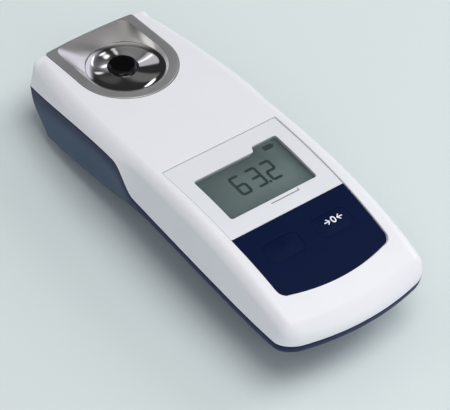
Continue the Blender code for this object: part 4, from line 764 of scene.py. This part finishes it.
# distance from the middle to a closed outline along each angle
def reachAt(outlineX, outlineY, angles):
    at = np.arctan2(outlineY, outlineX)
    order = np.argsort(at)
    at, far = at[order], np.hypot(outlineX, outlineY)[order]
    return np.interp(angles, np.concatenate([at[-1:] - 2 * math.pi, at, at[:1] + 2 * math.pi]),
                     np.concatenate([far[-1:], far, far[:1]]))


# angles round the stage, closer together at its two far corners
def stageAngles():
    spread, fine, around, digits = 0.06, 25, 288, 5
    corner = math.atan2(stage["far"], stage["half"])
    near = np.linspace(-spread, spread, fine)
    angles = np.concatenate([np.linspace(-math.pi, math.pi, around + 1)[:-1], corner + near,
                             math.pi - corner + near])
    return np.unique(np.round(angles, digits))


# polar outline of the plate, set in, read off its outline at many even steps
def plateReach(inset, angles):
    steps = 4000
    x, y = stageHalf(-inset, stage["far"] - inset)
    t = np.linspace(0, len(x) - 1, steps)
    x, y = np.interp(t, np.arange(len(x)), x), np.interp(t, np.arange(len(y)), y)
    return reachAt(np.concatenate([x, -x[::-1]]), np.concatenate([y, y[::-1]]), angles)


# polar outline of the funnel's upper edge: round near, a squarish superellipse toward the far
def funnelReach(angles):
    half, far, power = stage["funnelHalf"], stage["funnelFar"], stage["funnelPower"]
    c, s = np.abs(np.cos(angles)), np.sin(angles)
    farReach = ((c / half) ** power + (np.abs(s) / far) ** power) ** (-1 / power)
    return np.where(s > 0, farReach, half)


# the dish's radii, depths and places, with the prism in it; funnelRim is how far out and how deep
# each row of the funnel's edge lies, and the shares say where rows of funnel and prism face lie
dish = {"rim": 0.0119, "rimDepth": 0.00085, "rimTilt": 0.00035, "lip": 0.00012, "y": -0.0005,
        "bore": 0.00465, "prismY": 0.0009, "floor": 0.00155, "cone": 0.82, "flarePower": 9,
        "boreEdge": 0.00005, "rows": 49, "rowPower": 1.3,
        "prism": 0.00435, "prismDepth": 0.0008, "prismEdge": 0.00012, "collar": 0.0032,
        "prismSteps": 5, "prismCount": 96}
funnelRim = ((0.0002, 0), (0.00005, 0.000002), (0, 0.00001))
funnelShares = (0.04, 0.2, 0.4, 0.6, 0.8, 0.96, 1)
prismShares = (0.7, 0.25)


# steel stage in one skin with three finishes: border, funnel and mirror dish; at share s from its
# tilted rim to the prism's bore the dish has sunk cone*s + (1-cone)*(1-(1-s)^power) to its floor
def makeStage():
    angles = stageAngles()
    n = len(angles)
    c, s = np.cos(angles), np.sin(angles)

    # a ring at a reach along each angle, about a middle at y
    def ring(reach, z, y=0.0):
        return np.column_stack([reach * c, reach * s + y, np.broadcast_to(z, n)])

    boss, under = (plateReach(stage[k], angles) for k in ("bossIn", "underEdge"))
    rings = [ring(boss, -stage["bossDepth"]), ring(boss, -stage["thick"]),
             ring(under, -stage["thick"]),
             ring(plateReach(0, angles), stage["underEdge"] - stage["thick"])]
    for turn in np.linspace(0, math.pi / 2, stage["edgeSteps"]):
        edge = plateReach(stage["edge"] * (1 - math.cos(turn)), angles)
        rings.append(ring(edge, -stage["edge"] * (1 - math.sin(turn))))
    rings.append(ring(plateReach(stage["flatFrom"], angles), 0))
    funnel = funnelReach(angles)
    rings += [ring(funnel + out, -depth) for out, depth in funnelRim]
    top, borderRows = rings[-1], len(rings) - 1
    rimZ = -dish["rimDepth"] - dish["rimTilt"] * s
    low = ring(np.full(n, dish["rim"] + dish["lip"]), rimZ, dish["y"])
    rings += [top + (low - top) * share for share in funnelShares]
    rings.append(ring(np.full(n, dish["rim"] + dish["lip"] / 2), rimZ + dish["lip"] / 3,
                      dish["y"]))
    funnelRows = len(rings)
    for share in np.linspace(0, 1, dish["rows"]) ** dish["rowPower"]:
        radius = dish["rim"] + (dish["bore"] - dish["rim"]) * share
        middle = dish["y"] + (dish["prismY"] - dish["y"]) * share**2
        sunk = dish["cone"] * share + (1 - dish["cone"]) * (1 - (1 - share) ** dish["flarePower"])
        z = -dish["rimDepth"] - dish["rimTilt"] * s * (1 - share) \
            - (dish["floor"] - dish["rimDepth"]) * sunk
        rings.append(ring(np.full(n, radius), z, middle))
    for depth in (dish["floor"] + dish["boreEdge"], stage["bossDepth"]):
        rings.append(ring(np.full(n, dish["bore"]), -depth, dish["prismY"]))
    rows = len(rings)
    i = np.arange(n)
    j = (i + 1) % n
    closing = np.column_stack([(rows - 1) * n + i, (rows - 1) * n + j, j, i])
    faces = ringQuads(rows, n).tolist() + closing.tolist()
    obj = pieceFrom("stagePlate", onStage(np.concatenate(rings)), faces, looks["stageSteel"])
    obj.data.materials.append(looks["funnelSteel"])
    obj.data.materials.append(looks["dishSteel"])
    kind = np.zeros(len(obj.data.polygons), np.int32)
    kind[(borderRows - 1) * n:(funnelRows - 1) * n] = 1
    kind[(funnelRows - 1) * n:(rows - 2) * n] = 2
    obj.data.polygons.foreach_set("material_index", kind)
    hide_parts("stage_plate")
    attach(obj, "housing")
    return obj


stagePlate = makeStage()
print("stage", len(stagePlate.data.polygons))


# dark prism: round polished face with a tiny rounded rim, on a plain collar
def makePrism():
    radius, top, edge = dish["prism"], -dish["prismDepth"], dish["prismEdge"]
    rings = [(radius, top - dish["collar"]), (radius, top - edge)]
    for turn in np.linspace(0, math.pi / 2, dish["prismSteps"]):
        rings.append((radius - edge * (1 - math.cos(turn)), top - edge * (1 - math.sin(turn))))
    rings += [(radius * share, top) for share in prismShares]
    levels = [onStage(lifted(ovalAt(0, dish["prismY"], r, r, dish["prismCount"]), z))
              for r, z in rings]
    obj = stacked("prismFace", levels, looks["prismGlass"])
    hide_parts("prism")
    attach(obj, "housing")
    return obj


prismFace = makePrism()


# arched film in its outline: straight wall, then a rounded upper edge
def filmRings(halfAt):
    rings = []
    for depth in (film["thick"], film["edge"]):
        x, y = halfAt(0)
        rings.append(fullRing(x, y, topZ(y) - film["top"] - depth))
    for turn in np.linspace(film["edgeFrom"], math.pi / 2, film["edgeSteps"]):
        x, y = halfAt(film["edge"] * (1 - math.cos(turn)))
        rings.append(fullRing(x, y, topZ(y) - film["top"] - film["edge"] * (1 - math.sin(turn))))
    return rings


# right half of the label film: straight bottom at the keypad, straight sides and top
def labelHalf(inset):
    end = panelCount["end"]
    low, high = panel["midY"] + film["labelUp"] + inset, panel["topY"] - film["gap"] - inset
    sideY = np.linspace(low, high, film["sideCount"])
    sideX = panelSide(sideY) - film["gap"] - inset
    return (np.concatenate([np.linspace(0, sideX[0], end)[:-1], sideX,
                            np.linspace(sideX[-1], 0, end)[1:]]),
            np.concatenate([np.full(end - 1, low), sideY, np.full(end - 1, high)]))


# right half of the keypad film: the panel's lower part
def keypadHalf(inset):
    end = panelCount["end"]
    x, y = panelHalf(film["gap"] + inset)
    high = panel["midY"] - film["padDown"] - inset
    keep = y < high - film["leastStep"]
    x, y = x[keep], y[keep]
    midHalf = panel["midHalf"] - film["gap"] - inset
    side = float(np.interp(high, [y[-1], panel["midY"]], [x[-1], midHalf]))
    return (np.concatenate([x, [side], np.linspace(side, 0, end)[1:]]),
            np.concatenate([y, [high], np.full(end - 1, high)]))


# pale label film round the display
def makeLabel():
    rings = filmRings(labelHalf)
    label = ringSolid("labelFilm", rings, looks["labelFilm"])
    opening = screenOutline(-screen["labelGap"])
    carved(label, [stacked("labelCut", [lifted(opening, past["label"]),
                                        lifted(opening, past["top"])])])
    normalsFrom(label, [(ringSource(rings, True), 1)])
    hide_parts("label_sheet")
    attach(label, "housing")
    return label


# navy keypad film with two key openings
def makeKeypad():
    rings = filmRings(keypadHalf)
    pad = ringSolid("keypadFilm", rings, looks["navyFilm"])
    cutters = []
    for side in (-1, 1):
        opening = keyOutline(side, key["gap"])
        cutters.append(stacked("keyCut", [lifted(opening, past["keypad"]),
                                          lifted(opening, past["top"])]))
    carved(pad, cutters)
    normalsFrom(pad, [(ringSource(rings, True), 1)])
    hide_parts("keypad_sheet")
    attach(pad, "housing")
    return pad


labelFilm = makeLabel()
keypadFilm = makeKeypad()
print("films", len(labelFilm.data.polygons), len(keypadFilm.data.polygons))


# a thin raised stroke along a path, set out to both sides with mitred turns: a closed loop, or
# half discs at both ends; its height is a function of y
def stroke(name, path, width, height, thick, look, closed=False):
    leastMitre, capSteps = 0.4, 6
    path = np.asarray(path, float)
    ahead = np.roll(path, -1, 0) - path
    if not closed:
        ahead[-1] = ahead[-2]
    back = np.roll(ahead, 1, 0)
    if not closed:
        back[0] = ahead[0]
    way = ahead / np.linalg.norm(ahead, axis=1, keepdims=True)
    was = back / np.linalg.norm(back, axis=1, keepdims=True)
    mid = way + was
    mid /= np.linalg.norm(mid, axis=1, keepdims=True)
    across = np.column_stack([-mid[:, 1], mid[:, 0]])
    wide = width / 2 / np.maximum((mid * way).sum(1, keepdims=True), leastMitre)
    left, right = path + across * wide, path - across * wide
    if closed:
        n = len(path)
        points = np.concatenate([np.column_stack([p, height(p[:, 1]) + lift])
                                 for p in (left, right) for lift in (0, thick)])
        i, j = np.arange(n), (np.arange(n) + 1) % n
        faces = []
        for a, b in ((n, 3 * n), (3 * n, 2 * n), (2 * n, 0), (0, n)):
            faces += np.column_stack([a + i, b + i, b + j, a + j]).tolist()
        return pieceFrom(name, points, faces, look)
    turns = np.linspace(0, math.pi, capSteps + 1)[1:-1]

    # a half disc about an end, from its left side over the tip to its right
    def cap(centre, direction):
        side = np.array([-direction[1], direction[0]])
        return [centre + width / 2 * (side * math.cos(a) + direction * math.sin(a))
                for a in turns]

    outline = np.array(list(right) + cap(path[-1], way[-1])[::-1] + list(left[::-1])
                       + cap(path[0], -was[0])[::-1])
    low = lifted(outline, height(outline[:, 1]))
    return stacked(name, [low, low + [0, 0, thick]], look)


# height of a key's domed top at share s from its middle (0) to its edge (1): a power of the
# smooth fall from the middle
def keyTop(y, s):
    return topZ(y) - film["top"] - key["sunk"] + key["rise"] * (1 - eased(s)) ** key["domePower"]


domeShares = (1, 0.985, 0.95, 0.9, 0.84, 0.77, 0.7, 0.6, 0.5, 0.35, 0.2, 0.05)
lining = {"width": 0.0014, "thick": 0.00001}


# a domed key with its stem
def makeKey(name, side, node, ridesOn):
    outline = keyOutline(side, 0)
    middle = np.array([side * key["x"], key["y"]])
    levels = [lifted(outline, keyTop(outline[:, 1], 1) - key["edge"])]
    for share in domeShares:
        ring = middle + (outline - middle) * share
        levels.append(lifted(ring, keyTop(ring[:, 1], share)))
    cap = stacked(name, levels, looks["navyFilm"])
    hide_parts(node)
    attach(cap, ridesOn)
    circle = ovalAt(middle[0], middle[1], key["stem"], key["stem"], key["stemCount"])
    stem = stacked(name + "Stem", [lifted(circle, key["stemLow"]), lifted(circle, key["stemTop"])],
                   looks["navyFilm"])
    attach(stem, ridesOn)
    return cap


# dark lining on the recess floor round a key, seen through the gap at the key's edge
def makeWell(name, side):
    # height of the recess floor
    def onFloor(y):
        return topZ(y) - panel["recess"] + lining["thick"] / 2

    well = stroke(name, keyOutline(side, 0), lining["width"], onFloor, lining["thick"],
                  looks["navyFilm"], closed=True)
    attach(well, "housing")
    return well


leftKey = makeKey("leftKey", -1, "left_key", "left_key_cap")
zeroKey = makeKey("zeroKey", 1, "zero_key", "zero_key_cap")
keyWells = [makeWell("leftKeyWell", -1), makeWell("zeroKeyWell", 1)]

display = {"paneIn": 0.00005, "paneLow": 0.0281, "paneTop": 0.02892, "paneEdge": 0.00007,
           "glassOut": 0.00015, "glassLow": 0.0248, "glassTop": 0.02765}


# clear window set in the label film, its upper edge bevelled
def makeWindow():
    inset, edge = display["paneIn"], display["paneEdge"]
    levels = [lifted(screenOutline(inset), display["paneLow"]),
              lifted(screenOutline(inset), display["paneTop"] - edge),
              lifted(screenOutline(inset + edge), display["paneTop"])]
    pane = stacked("displayWindow", levels, looks["windowPlastic"])
    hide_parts("display_window")
    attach(pane, "housing")
    return pane


# grey-green display under the window, a little larger than it
def makeDisplay():
    outline = screenOutline(-display["glassOut"])
    glass = stacked("displayGlass", [lifted(outline, display["glassLow"]),
                                     lifted(outline, display["glassTop"])],
                    looks["displayGlass"])
    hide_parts("lcd_module")
    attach(glass, "housing")
    return glass


displayWindow = makeWindow()
displayGlass = makeDisplay()
print("keys and display made")


# joins several pieces into one with flat faces and the first one's look
def joined(name, pieces):
    points, faces, base = [], [], 0
    look = pieces[0].data.materials[0]
    for piece in pieces:
        places = np.zeros(len(piece.data.vertices) * 3)
        piece.data.vertices.foreach_get("co", places)
        points.append(places.reshape(-1, 3))
        faces += [[base + v for v in f.vertices] for f in piece.data.polygons]
        base += len(piece.data.vertices)
        bpy.data.objects.remove(piece, do_unlink=True)
    obj = pieceFrom(name, np.concatenate(points), faces, look)
    obj.data.polygons.foreach_set("use_smooth", np.zeros(len(obj.data.polygons), bool))
    return obj


# digits by their left x, the point's two ends, and the battery sign's blocks by left, low, right,
# high and corner
reading = {"width": 0.0031, "height": 0.0070, "bar": 0.00092, "gap": 0.00042, "thick": 0.00003,
           "y": -0.01635, "digits": (("6", -0.00585), ("3", 0.0), ("2", 0.0053)),
           "point": ((0.00395, -0.01640), (0.0041, -0.01635)),
           "battery": ((0.0102, -0.0061, 0.0134, -0.0043, 0.0002),
                       (0.01345, -0.0056, 0.0139, -0.0048, 0.0001)), "cornerSteps": 3}
barsOf = {"6": "afgedc", "3": "abgcd", "2": "abged"}


# the reading on the display: three digits of bars, a point and the battery sign
def makeReading():
    w, h, g = reading["width"], reading["height"], reading["gap"]
    bars = {
        "a": ((g, h), (w - g, h)), "g": ((g, h / 2), (w - g, h / 2)), "d": ((g, 0), (w - g, 0)),
        "f": ((0, h / 2 + g), (0, h - g)), "b": ((w, h / 2 + g), (w, h - g)),
        "e": ((0, g), (0, h / 2 - g)), "c": ((w, g), (w, h / 2 - g)),
    }

    # height of the display's face
    def onGlass(y):
        return np.full_like(y, display["glassTop"])

    paths = [np.array(bars[bar]) + [x, reading["y"]]
             for digit, x in reading["digits"] for bar in barsOf[digit]]
    parts = [stroke("bar", path, reading["bar"], onGlass, reading["thick"], looks["displayInk"])
             for path in paths + [np.array(reading["point"])]]
    for left, low, right, high, corner in reading["battery"]:
        block = roundedBox(left, low, right, high, corner, reading["cornerSteps"])
        parts.append(stacked("block", [lifted(block, display["glassTop"]),
                                       lifted(block, display["glassTop"] + reading["thick"])],
                             looks["displayInk"]))
    ink = joined("displayReading", parts)
    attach(ink, "housing")
    return ink


displayReading = makeReading()

zeroSign = {"x": 0.0093, "y": -0.0381, "ringHalf": 0.00062, "ringTall": 0.00092,
            "ringWidth": 0.0004, "tip": 0.0014, "tail": 0.0031, "head": 0.0008,
            "width": 0.00032, "thick": 0.00004, "ringCount": 28}
bracket = {"left": -0.0021, "right": 0.0079, "y": -0.02425, "tickY": -0.0235,
           "width": 0.00032, "tickWidth": 0.00028, "thick": 0.00003}
inkSink = 0.00001  # how far printed marks start under the face they lie on


# the plain zero sign on its key: a ring between two arrows that point at it
def makeZeroSign():
    # height of the key's middle
    def onKey(y):
        return keyTop(y, 0.0) - inkSink

    x, y, thick = zeroSign["x"], zeroSign["y"], zeroSign["thick"]
    ring = ovalAt(x, y, zeroSign["ringHalf"], zeroSign["ringTall"], zeroSign["ringCount"])
    parts = [stroke("ring", ring, zeroSign["ringWidth"], onKey, thick, looks["whiteInk"],
                    closed=True)]
    for side in (-1, 1):
        tip, tail = (x + side * zeroSign["tip"], y), (x + side * zeroSign["tail"], y)
        paths = [[tail, tip]]
        for lean in (-1, 1):
            barb = (tip[0] + side * zeroSign["head"], y + lean * zeroSign["head"])
            paths.append([barb, tip])
        parts += [stroke("arrow", path, zeroSign["width"], onKey, thick, looks["whiteInk"])
                  for path in paths]
    sign = joined("zeroMark", parts)
    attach(sign, "zero_key_cap")
    return sign


# the thin bracket printed under the display: a line and a short tick
def makeBracket():
    # height of the label film
    def onLabel(y):
        return topZ(y) - film["top"] - inkSink

    left, right = (bracket["left"], bracket["y"]), (bracket["right"], bracket["y"])
    tick = (bracket["right"], bracket["tickY"])
    parts = [stroke("line", path, width, onLabel, bracket["thick"], looks["greyInk"])
             for path, width in (([left, right], bracket["width"]),
                                 ([right, tick], bracket["tickWidth"]))]
    line = joined("labelMark", parts)
    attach(line, "housing")
    return line


zeroMark = makeZeroSign()
labelMark = makeBracket()

# the CAD pieces that stay as they are, by look
nodesByLook = {
    "blackRubber": ("housing_gasket", "prism_seal", "zebra_strip", "cover_gasket"),
    "blackPlastic": ("optics_chassis", "line_sensor", "processor", "lcd_frame", "switch_left",
                     "switch_zero", "battery_tray"),
    "amberLamp": ("led",),
    "clearLens": ("lens",),
    "boardGreen": ("sensor_board", "led_board", "main_board"),
    "palePlastic": ("thermistor", "plunger_left", "plunger_zero"),
    "copperFilm": ("flex_cable",),
    "cellWrap": ("battery_left", "battery_right"),
    "brightMetal": ("contact_bridge", "contact_positive", "contact_negative", "cover_screw",
                    "housing_screw_1", "housing_screw_2", "housing_screw_3", "housing_screw_4"),
    "blueShellWithPaintedShade": ("battery_cover",),
}
for look, nodes in nodesByLook.items():
    for node in nodes:
        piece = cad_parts[node]
        piece.data.materials.clear()
        piece.data.materials.append(looks[look])
print("carried pieces dressed")


# soft patches of light in the studio, each by its place in degrees from overhead (x toward +X,
# y toward +Y), the turn and half lengths of its oval in degrees, its edge, strength and colour
studioPatches = {
    "streak": (34.6, 60.8, 50, 5.6, 1.3, 0.45, 2.6, (1, 1, 1)),
    "lavender": (25.0, 48.6, 70, 3.2, 2.1, 0.35, 0.62, (0.93, 0.9, 1)),
    "lavenderCore": (25.2, 47.3, 10, 2.0, 0.55, 0.6, 0.9, (1, 1, 1)),
    "crescent": (35.4, 41.8, 64, 3.4, 0.55, 0.5, 2.2, (1, 1, 1)),
    "nextCrescent": (32.0, 42.0, 20, 1.0, 0.32, 0.5, 2.0, (1, 1, 1)),
    "spot": (29.5, 41.7, 60, 0.7, 0.4, 0.5, 0.9, (1, 1, 1)),
    "dot": (37.9, 46.9, 65, 0.8, 0.35, 0.6, 1.2, (1, 1, 1)),
    "greyTop": (26.4, 43.2, -45, 4.0, 2.4, 0.6, 0.2, (1, 1, 1)),
    "greyBottom": (33.0, 54.8, 160, 5.0, 2.6, 0.5, 0.14, (1, 1, 1)),
    "greyLeft": (38.4, 50.6, 75, 3.6, 1.6, 0.6, 0.06, (1, 1, 1)),
    "leftWall": (50, 39, 15, 20, 10, 0.35, 0.95, (0.91, 0.9, 1)),
    "farWall": (17, 29, 60, 18, 14, 0.5, 0.36, (1, 0.98, 0.95)),
    "rightWall": (-16, 38, 10, 24, 12, 0.5, 0.6, (1, 0.99, 0.97)),
}
# dark is an oval like a patch's; sky gives the base light from level to overhead
studio = {"backdrop": (0.69, 0.78, 0.78), "floor": (0.68, 0.752, 0.75), "floorHalf": 3.0,
          "floorDrop": 0.0002, "ambient": 0.9, "dark": (34, 48, 0, 38, 32, 0.45),
          "inDark": (0.03, 0.03, 0.03), "ovalDepth": 0.7,
          "sky": ((0.0, (0.62, 0.64, 0.72)), (0.12, (0.55, 0.56, 0.62)),
                  (0.35, (0.34, 0.34, 0.35)), (0.75, (0.27, 0.27, 0.28)),
                  (1.0, (0.4, 0.4, 0.42)))}
# each softbox by its place, width and height, watts and colour
softboxes = {
    "overhead": ((0.1, -0.25, 1.3), (1.1, 0.8), 9.4, (1, 1, 1)),
    "rightSide": ((1.2, -0.1, 0.75), (0.5, 0.9), 6.0, (1, 1, 1)),
    "leftFill": ((-0.9, -0.9, 0.9), (0.7, 0.7), 2.2, (0.93, 0.95, 1)),
    "frontLow": ((0.35, -1.3, 0.42), (0.8, 0.35), 2.2, (1, 1, 1)),
}


# pale plain floor just under the object
def makeFloor():
    look = makeLook("paleFloor", studio["floor"], 0.8, relief=0.0, uneven=0.004, cloud=3,
                    specular=0.1)
    size = studio["floorHalf"]
    floor = pieceFrom("floor", [(-size, -size, 0), (size, -size, 0), (size, size, 0),
                                (-size, size, 0)], [(0, 1, 2, 3)], look)
    floor.location.z = -studio["floorDrop"]


# 1 inside an oval about a direction, easing to 0 at its edge: the direction is measured in the
# oval's own axes, each over its half length, and the length of the outcome is eased
def ovalMask(tree, direction, x, y, turn, long, short, soft):
    away, around = math.radians(math.hypot(x, y)), math.atan2(y, x)
    spin = math.radians(turn) - around
    out = Vector((math.sin(away) * math.cos(around), math.sin(away) * math.sin(around),
                  math.cos(away)))
    down = Vector((math.cos(away) * math.cos(around), math.cos(away) * math.sin(around),
                   -math.sin(away)))
    along = Vector((-math.sin(around), math.cos(around), 0))
    first = down * math.cos(spin) + along * math.sin(spin)
    second = along * math.cos(spin) - down * math.sin(spin)
    local = tree.nodes.new("ShaderNodeMapping")
    local.vector_type = "TEXTURE"
    local.inputs["Location"].default_value = out
    local.inputs["Rotation"].default_value = Matrix((first, second, out)).transposed() \
        .to_euler("XYZ")
    local.inputs["Scale"].default_value = (
        math.sin(math.radians(long)), math.sin(math.radians(short)), studio["ovalDepth"])
    tree.links.new(direction, local.inputs["Vector"])
    reach = tree.nodes.new("ShaderNodeVectorMath")
    reach.operation = "LENGTH"
    tree.links.new(local.outputs["Vector"], reach.inputs[0])
    ease = tree.nodes.new("ShaderNodeMapRange")
    ease.interpolation_type = "SMOOTHSTEP"
    ease.inputs["From Min"].default_value = 1
    ease.inputs["From Max"].default_value = 1 - soft
    tree.links.new(reach.outputs["Value"], ease.inputs["Value"])
    return ease.outputs["Result"]


# base light of the studio by height, through the given stops
def skyRamp(tree, direction):
    split = tree.nodes.new("ShaderNodeSeparateXYZ")
    tree.links.new(direction, split.inputs["Vector"])
    ramp = tree.nodes.new("ShaderNodeValToRGB")
    stops = ramp.color_ramp.elements
    for stop, (at, colour) in zip((stops[0], stops[1]), (studio["sky"][0], studio["sky"][-1])):
        stop.position = at
        stop.color = (*colour, 1)
    for at, colour in studio["sky"][1:-1]:
        stops.new(at).color = (*colour, 1)
    tree.links.new(split.outputs["Z"], ramp.inputs["Fac"])
    return ramp.outputs["Color"]


# world light: the sky dimmed in one oval, with the soft patches added; the camera sees a plain
# backdrop in its place
def makeWorld():
    world = bpy.data.worlds.new("studio")
    bpy.context.scene.world = world
    world.use_nodes = True
    tree = world.node_tree
    tree.nodes.clear()
    direction = tree.nodes.new("ShaderNodeTexCoord").outputs["Generated"]
    dark = ovalMask(tree, direction, *studio["dark"])
    total = colourMix(tree, dark, skyRamp(tree, direction), studio["inDark"])
    for *oval, strength, colour in studioPatches.values():
        scaled = tree.nodes.new("ShaderNodeVectorMath")
        scaled.operation = "SCALE"
        scaled.inputs[0].default_value = [c * strength for c in colour]
        tree.links.new(ovalMask(tree, direction, *oval), scaled.inputs["Scale"])
        added = tree.nodes.new("ShaderNodeVectorMath")
        added.operation = "ADD"
        tree.links.new(total, added.inputs[0])
        tree.links.new(scaled.outputs["Vector"], added.inputs[1])
        total = added.outputs["Vector"]
    lit = tree.nodes.new("ShaderNodeBackground")
    lit.inputs["Strength"].default_value = studio["ambient"]
    tree.links.new(total, lit.inputs["Color"])
    seen = tree.nodes.new("ShaderNodeBackground")
    seen.inputs["Color"].default_value = (*studio["backdrop"], 1)
    path = tree.nodes.new("ShaderNodeLightPath")
    mix = tree.nodes.new("ShaderNodeMixShader")
    out = tree.nodes.new("ShaderNodeOutputWorld")
    tree.links.new(path.outputs["Is Camera Ray"], mix.inputs["Fac"])
    tree.links.new(lit.outputs["Background"], mix.inputs[1])
    tree.links.new(seen.outputs["Background"], mix.inputs[2])
    tree.links.new(mix.outputs["Shader"], out.inputs["Surface"])


# a rectangular lamp that faces the object
def makeSoftbox(name, place, size, watts, colour):
    lamp = bpy.data.lights.new(name, "AREA")
    lamp.shape = "RECTANGLE"
    lamp.size, lamp.size_y = size
    lamp.energy = watts
    lamp.color = colour
    obj = bpy.data.objects.new(name, lamp)
    bpy.context.scene.collection.objects.link(obj)
    obj.location = place
    obj.rotation_euler = Vector(place).to_track_quat("Z", "Y").to_euler()


makeFloor()
makeWorld()
for name, values in softboxes.items():
    makeSoftbox(name, *values)

# angles in degrees, distances in metres; focal, middle and size are in the photo's pixels
shot = {"azimuth": -43.91185, "elevation": 46.16660, "roll": 7.79828, "distance": 0.89503306,
        "focal": 3104.6148, "middle": (223.85695, 156.34013), "target": (0, 0, 0.026),
        "size": (450, 410), "sensor": 36, "clipStart": 0.05, "clipEnd": 20}


# the photo's camera: azimuth, elevation and roll round a target, at its own distance, moved
# across and down so that the target falls on the photo's middle point of projection
def makeCamera():
    a, e, r = (math.radians(shot[k]) for k in ("azimuth", "elevation", "roll"))
    back = np.array([math.sin(a) * math.cos(e), -math.cos(a) * math.cos(e), math.sin(e)])
    right = np.array([math.cos(a), math.sin(a), 0])
    up = np.cross(back, right)
    right, up = (math.cos(r) * right + math.sin(r) * up, math.cos(r) * up - math.sin(r) * right)
    across, down = ((shot["middle"][i] - shot["size"][i] / 2) / shot["focal"] * shot["distance"]
                    for i in range(2))
    place = np.array(shot["target"]) + back * shot["distance"] - right * across + up * down
    lens = bpy.data.cameras.new("photoCamera")
    lens.sensor_width = shot["sensor"]
    lens.lens = shot["focal"] / shot["size"][0] * lens.sensor_width
    lens.clip_start, lens.clip_end = shot["clipStart"], shot["clipEnd"]
    camera = bpy.data.objects.new("photoCamera", lens)
    bpy.context.scene.collection.objects.link(camera)
    turn = np.eye(4)
    turn[:3, 0], turn[:3, 1], turn[:3, 2], turn[:3, 3] = right, up, back, place
    camera.matrix_world = Matrix(turn.tolist())
    bpy.context.scene.camera = camera


makeCamera()
bpy.context.scene.view_settings.view_transform = "Standard"
print("studio and camera made")
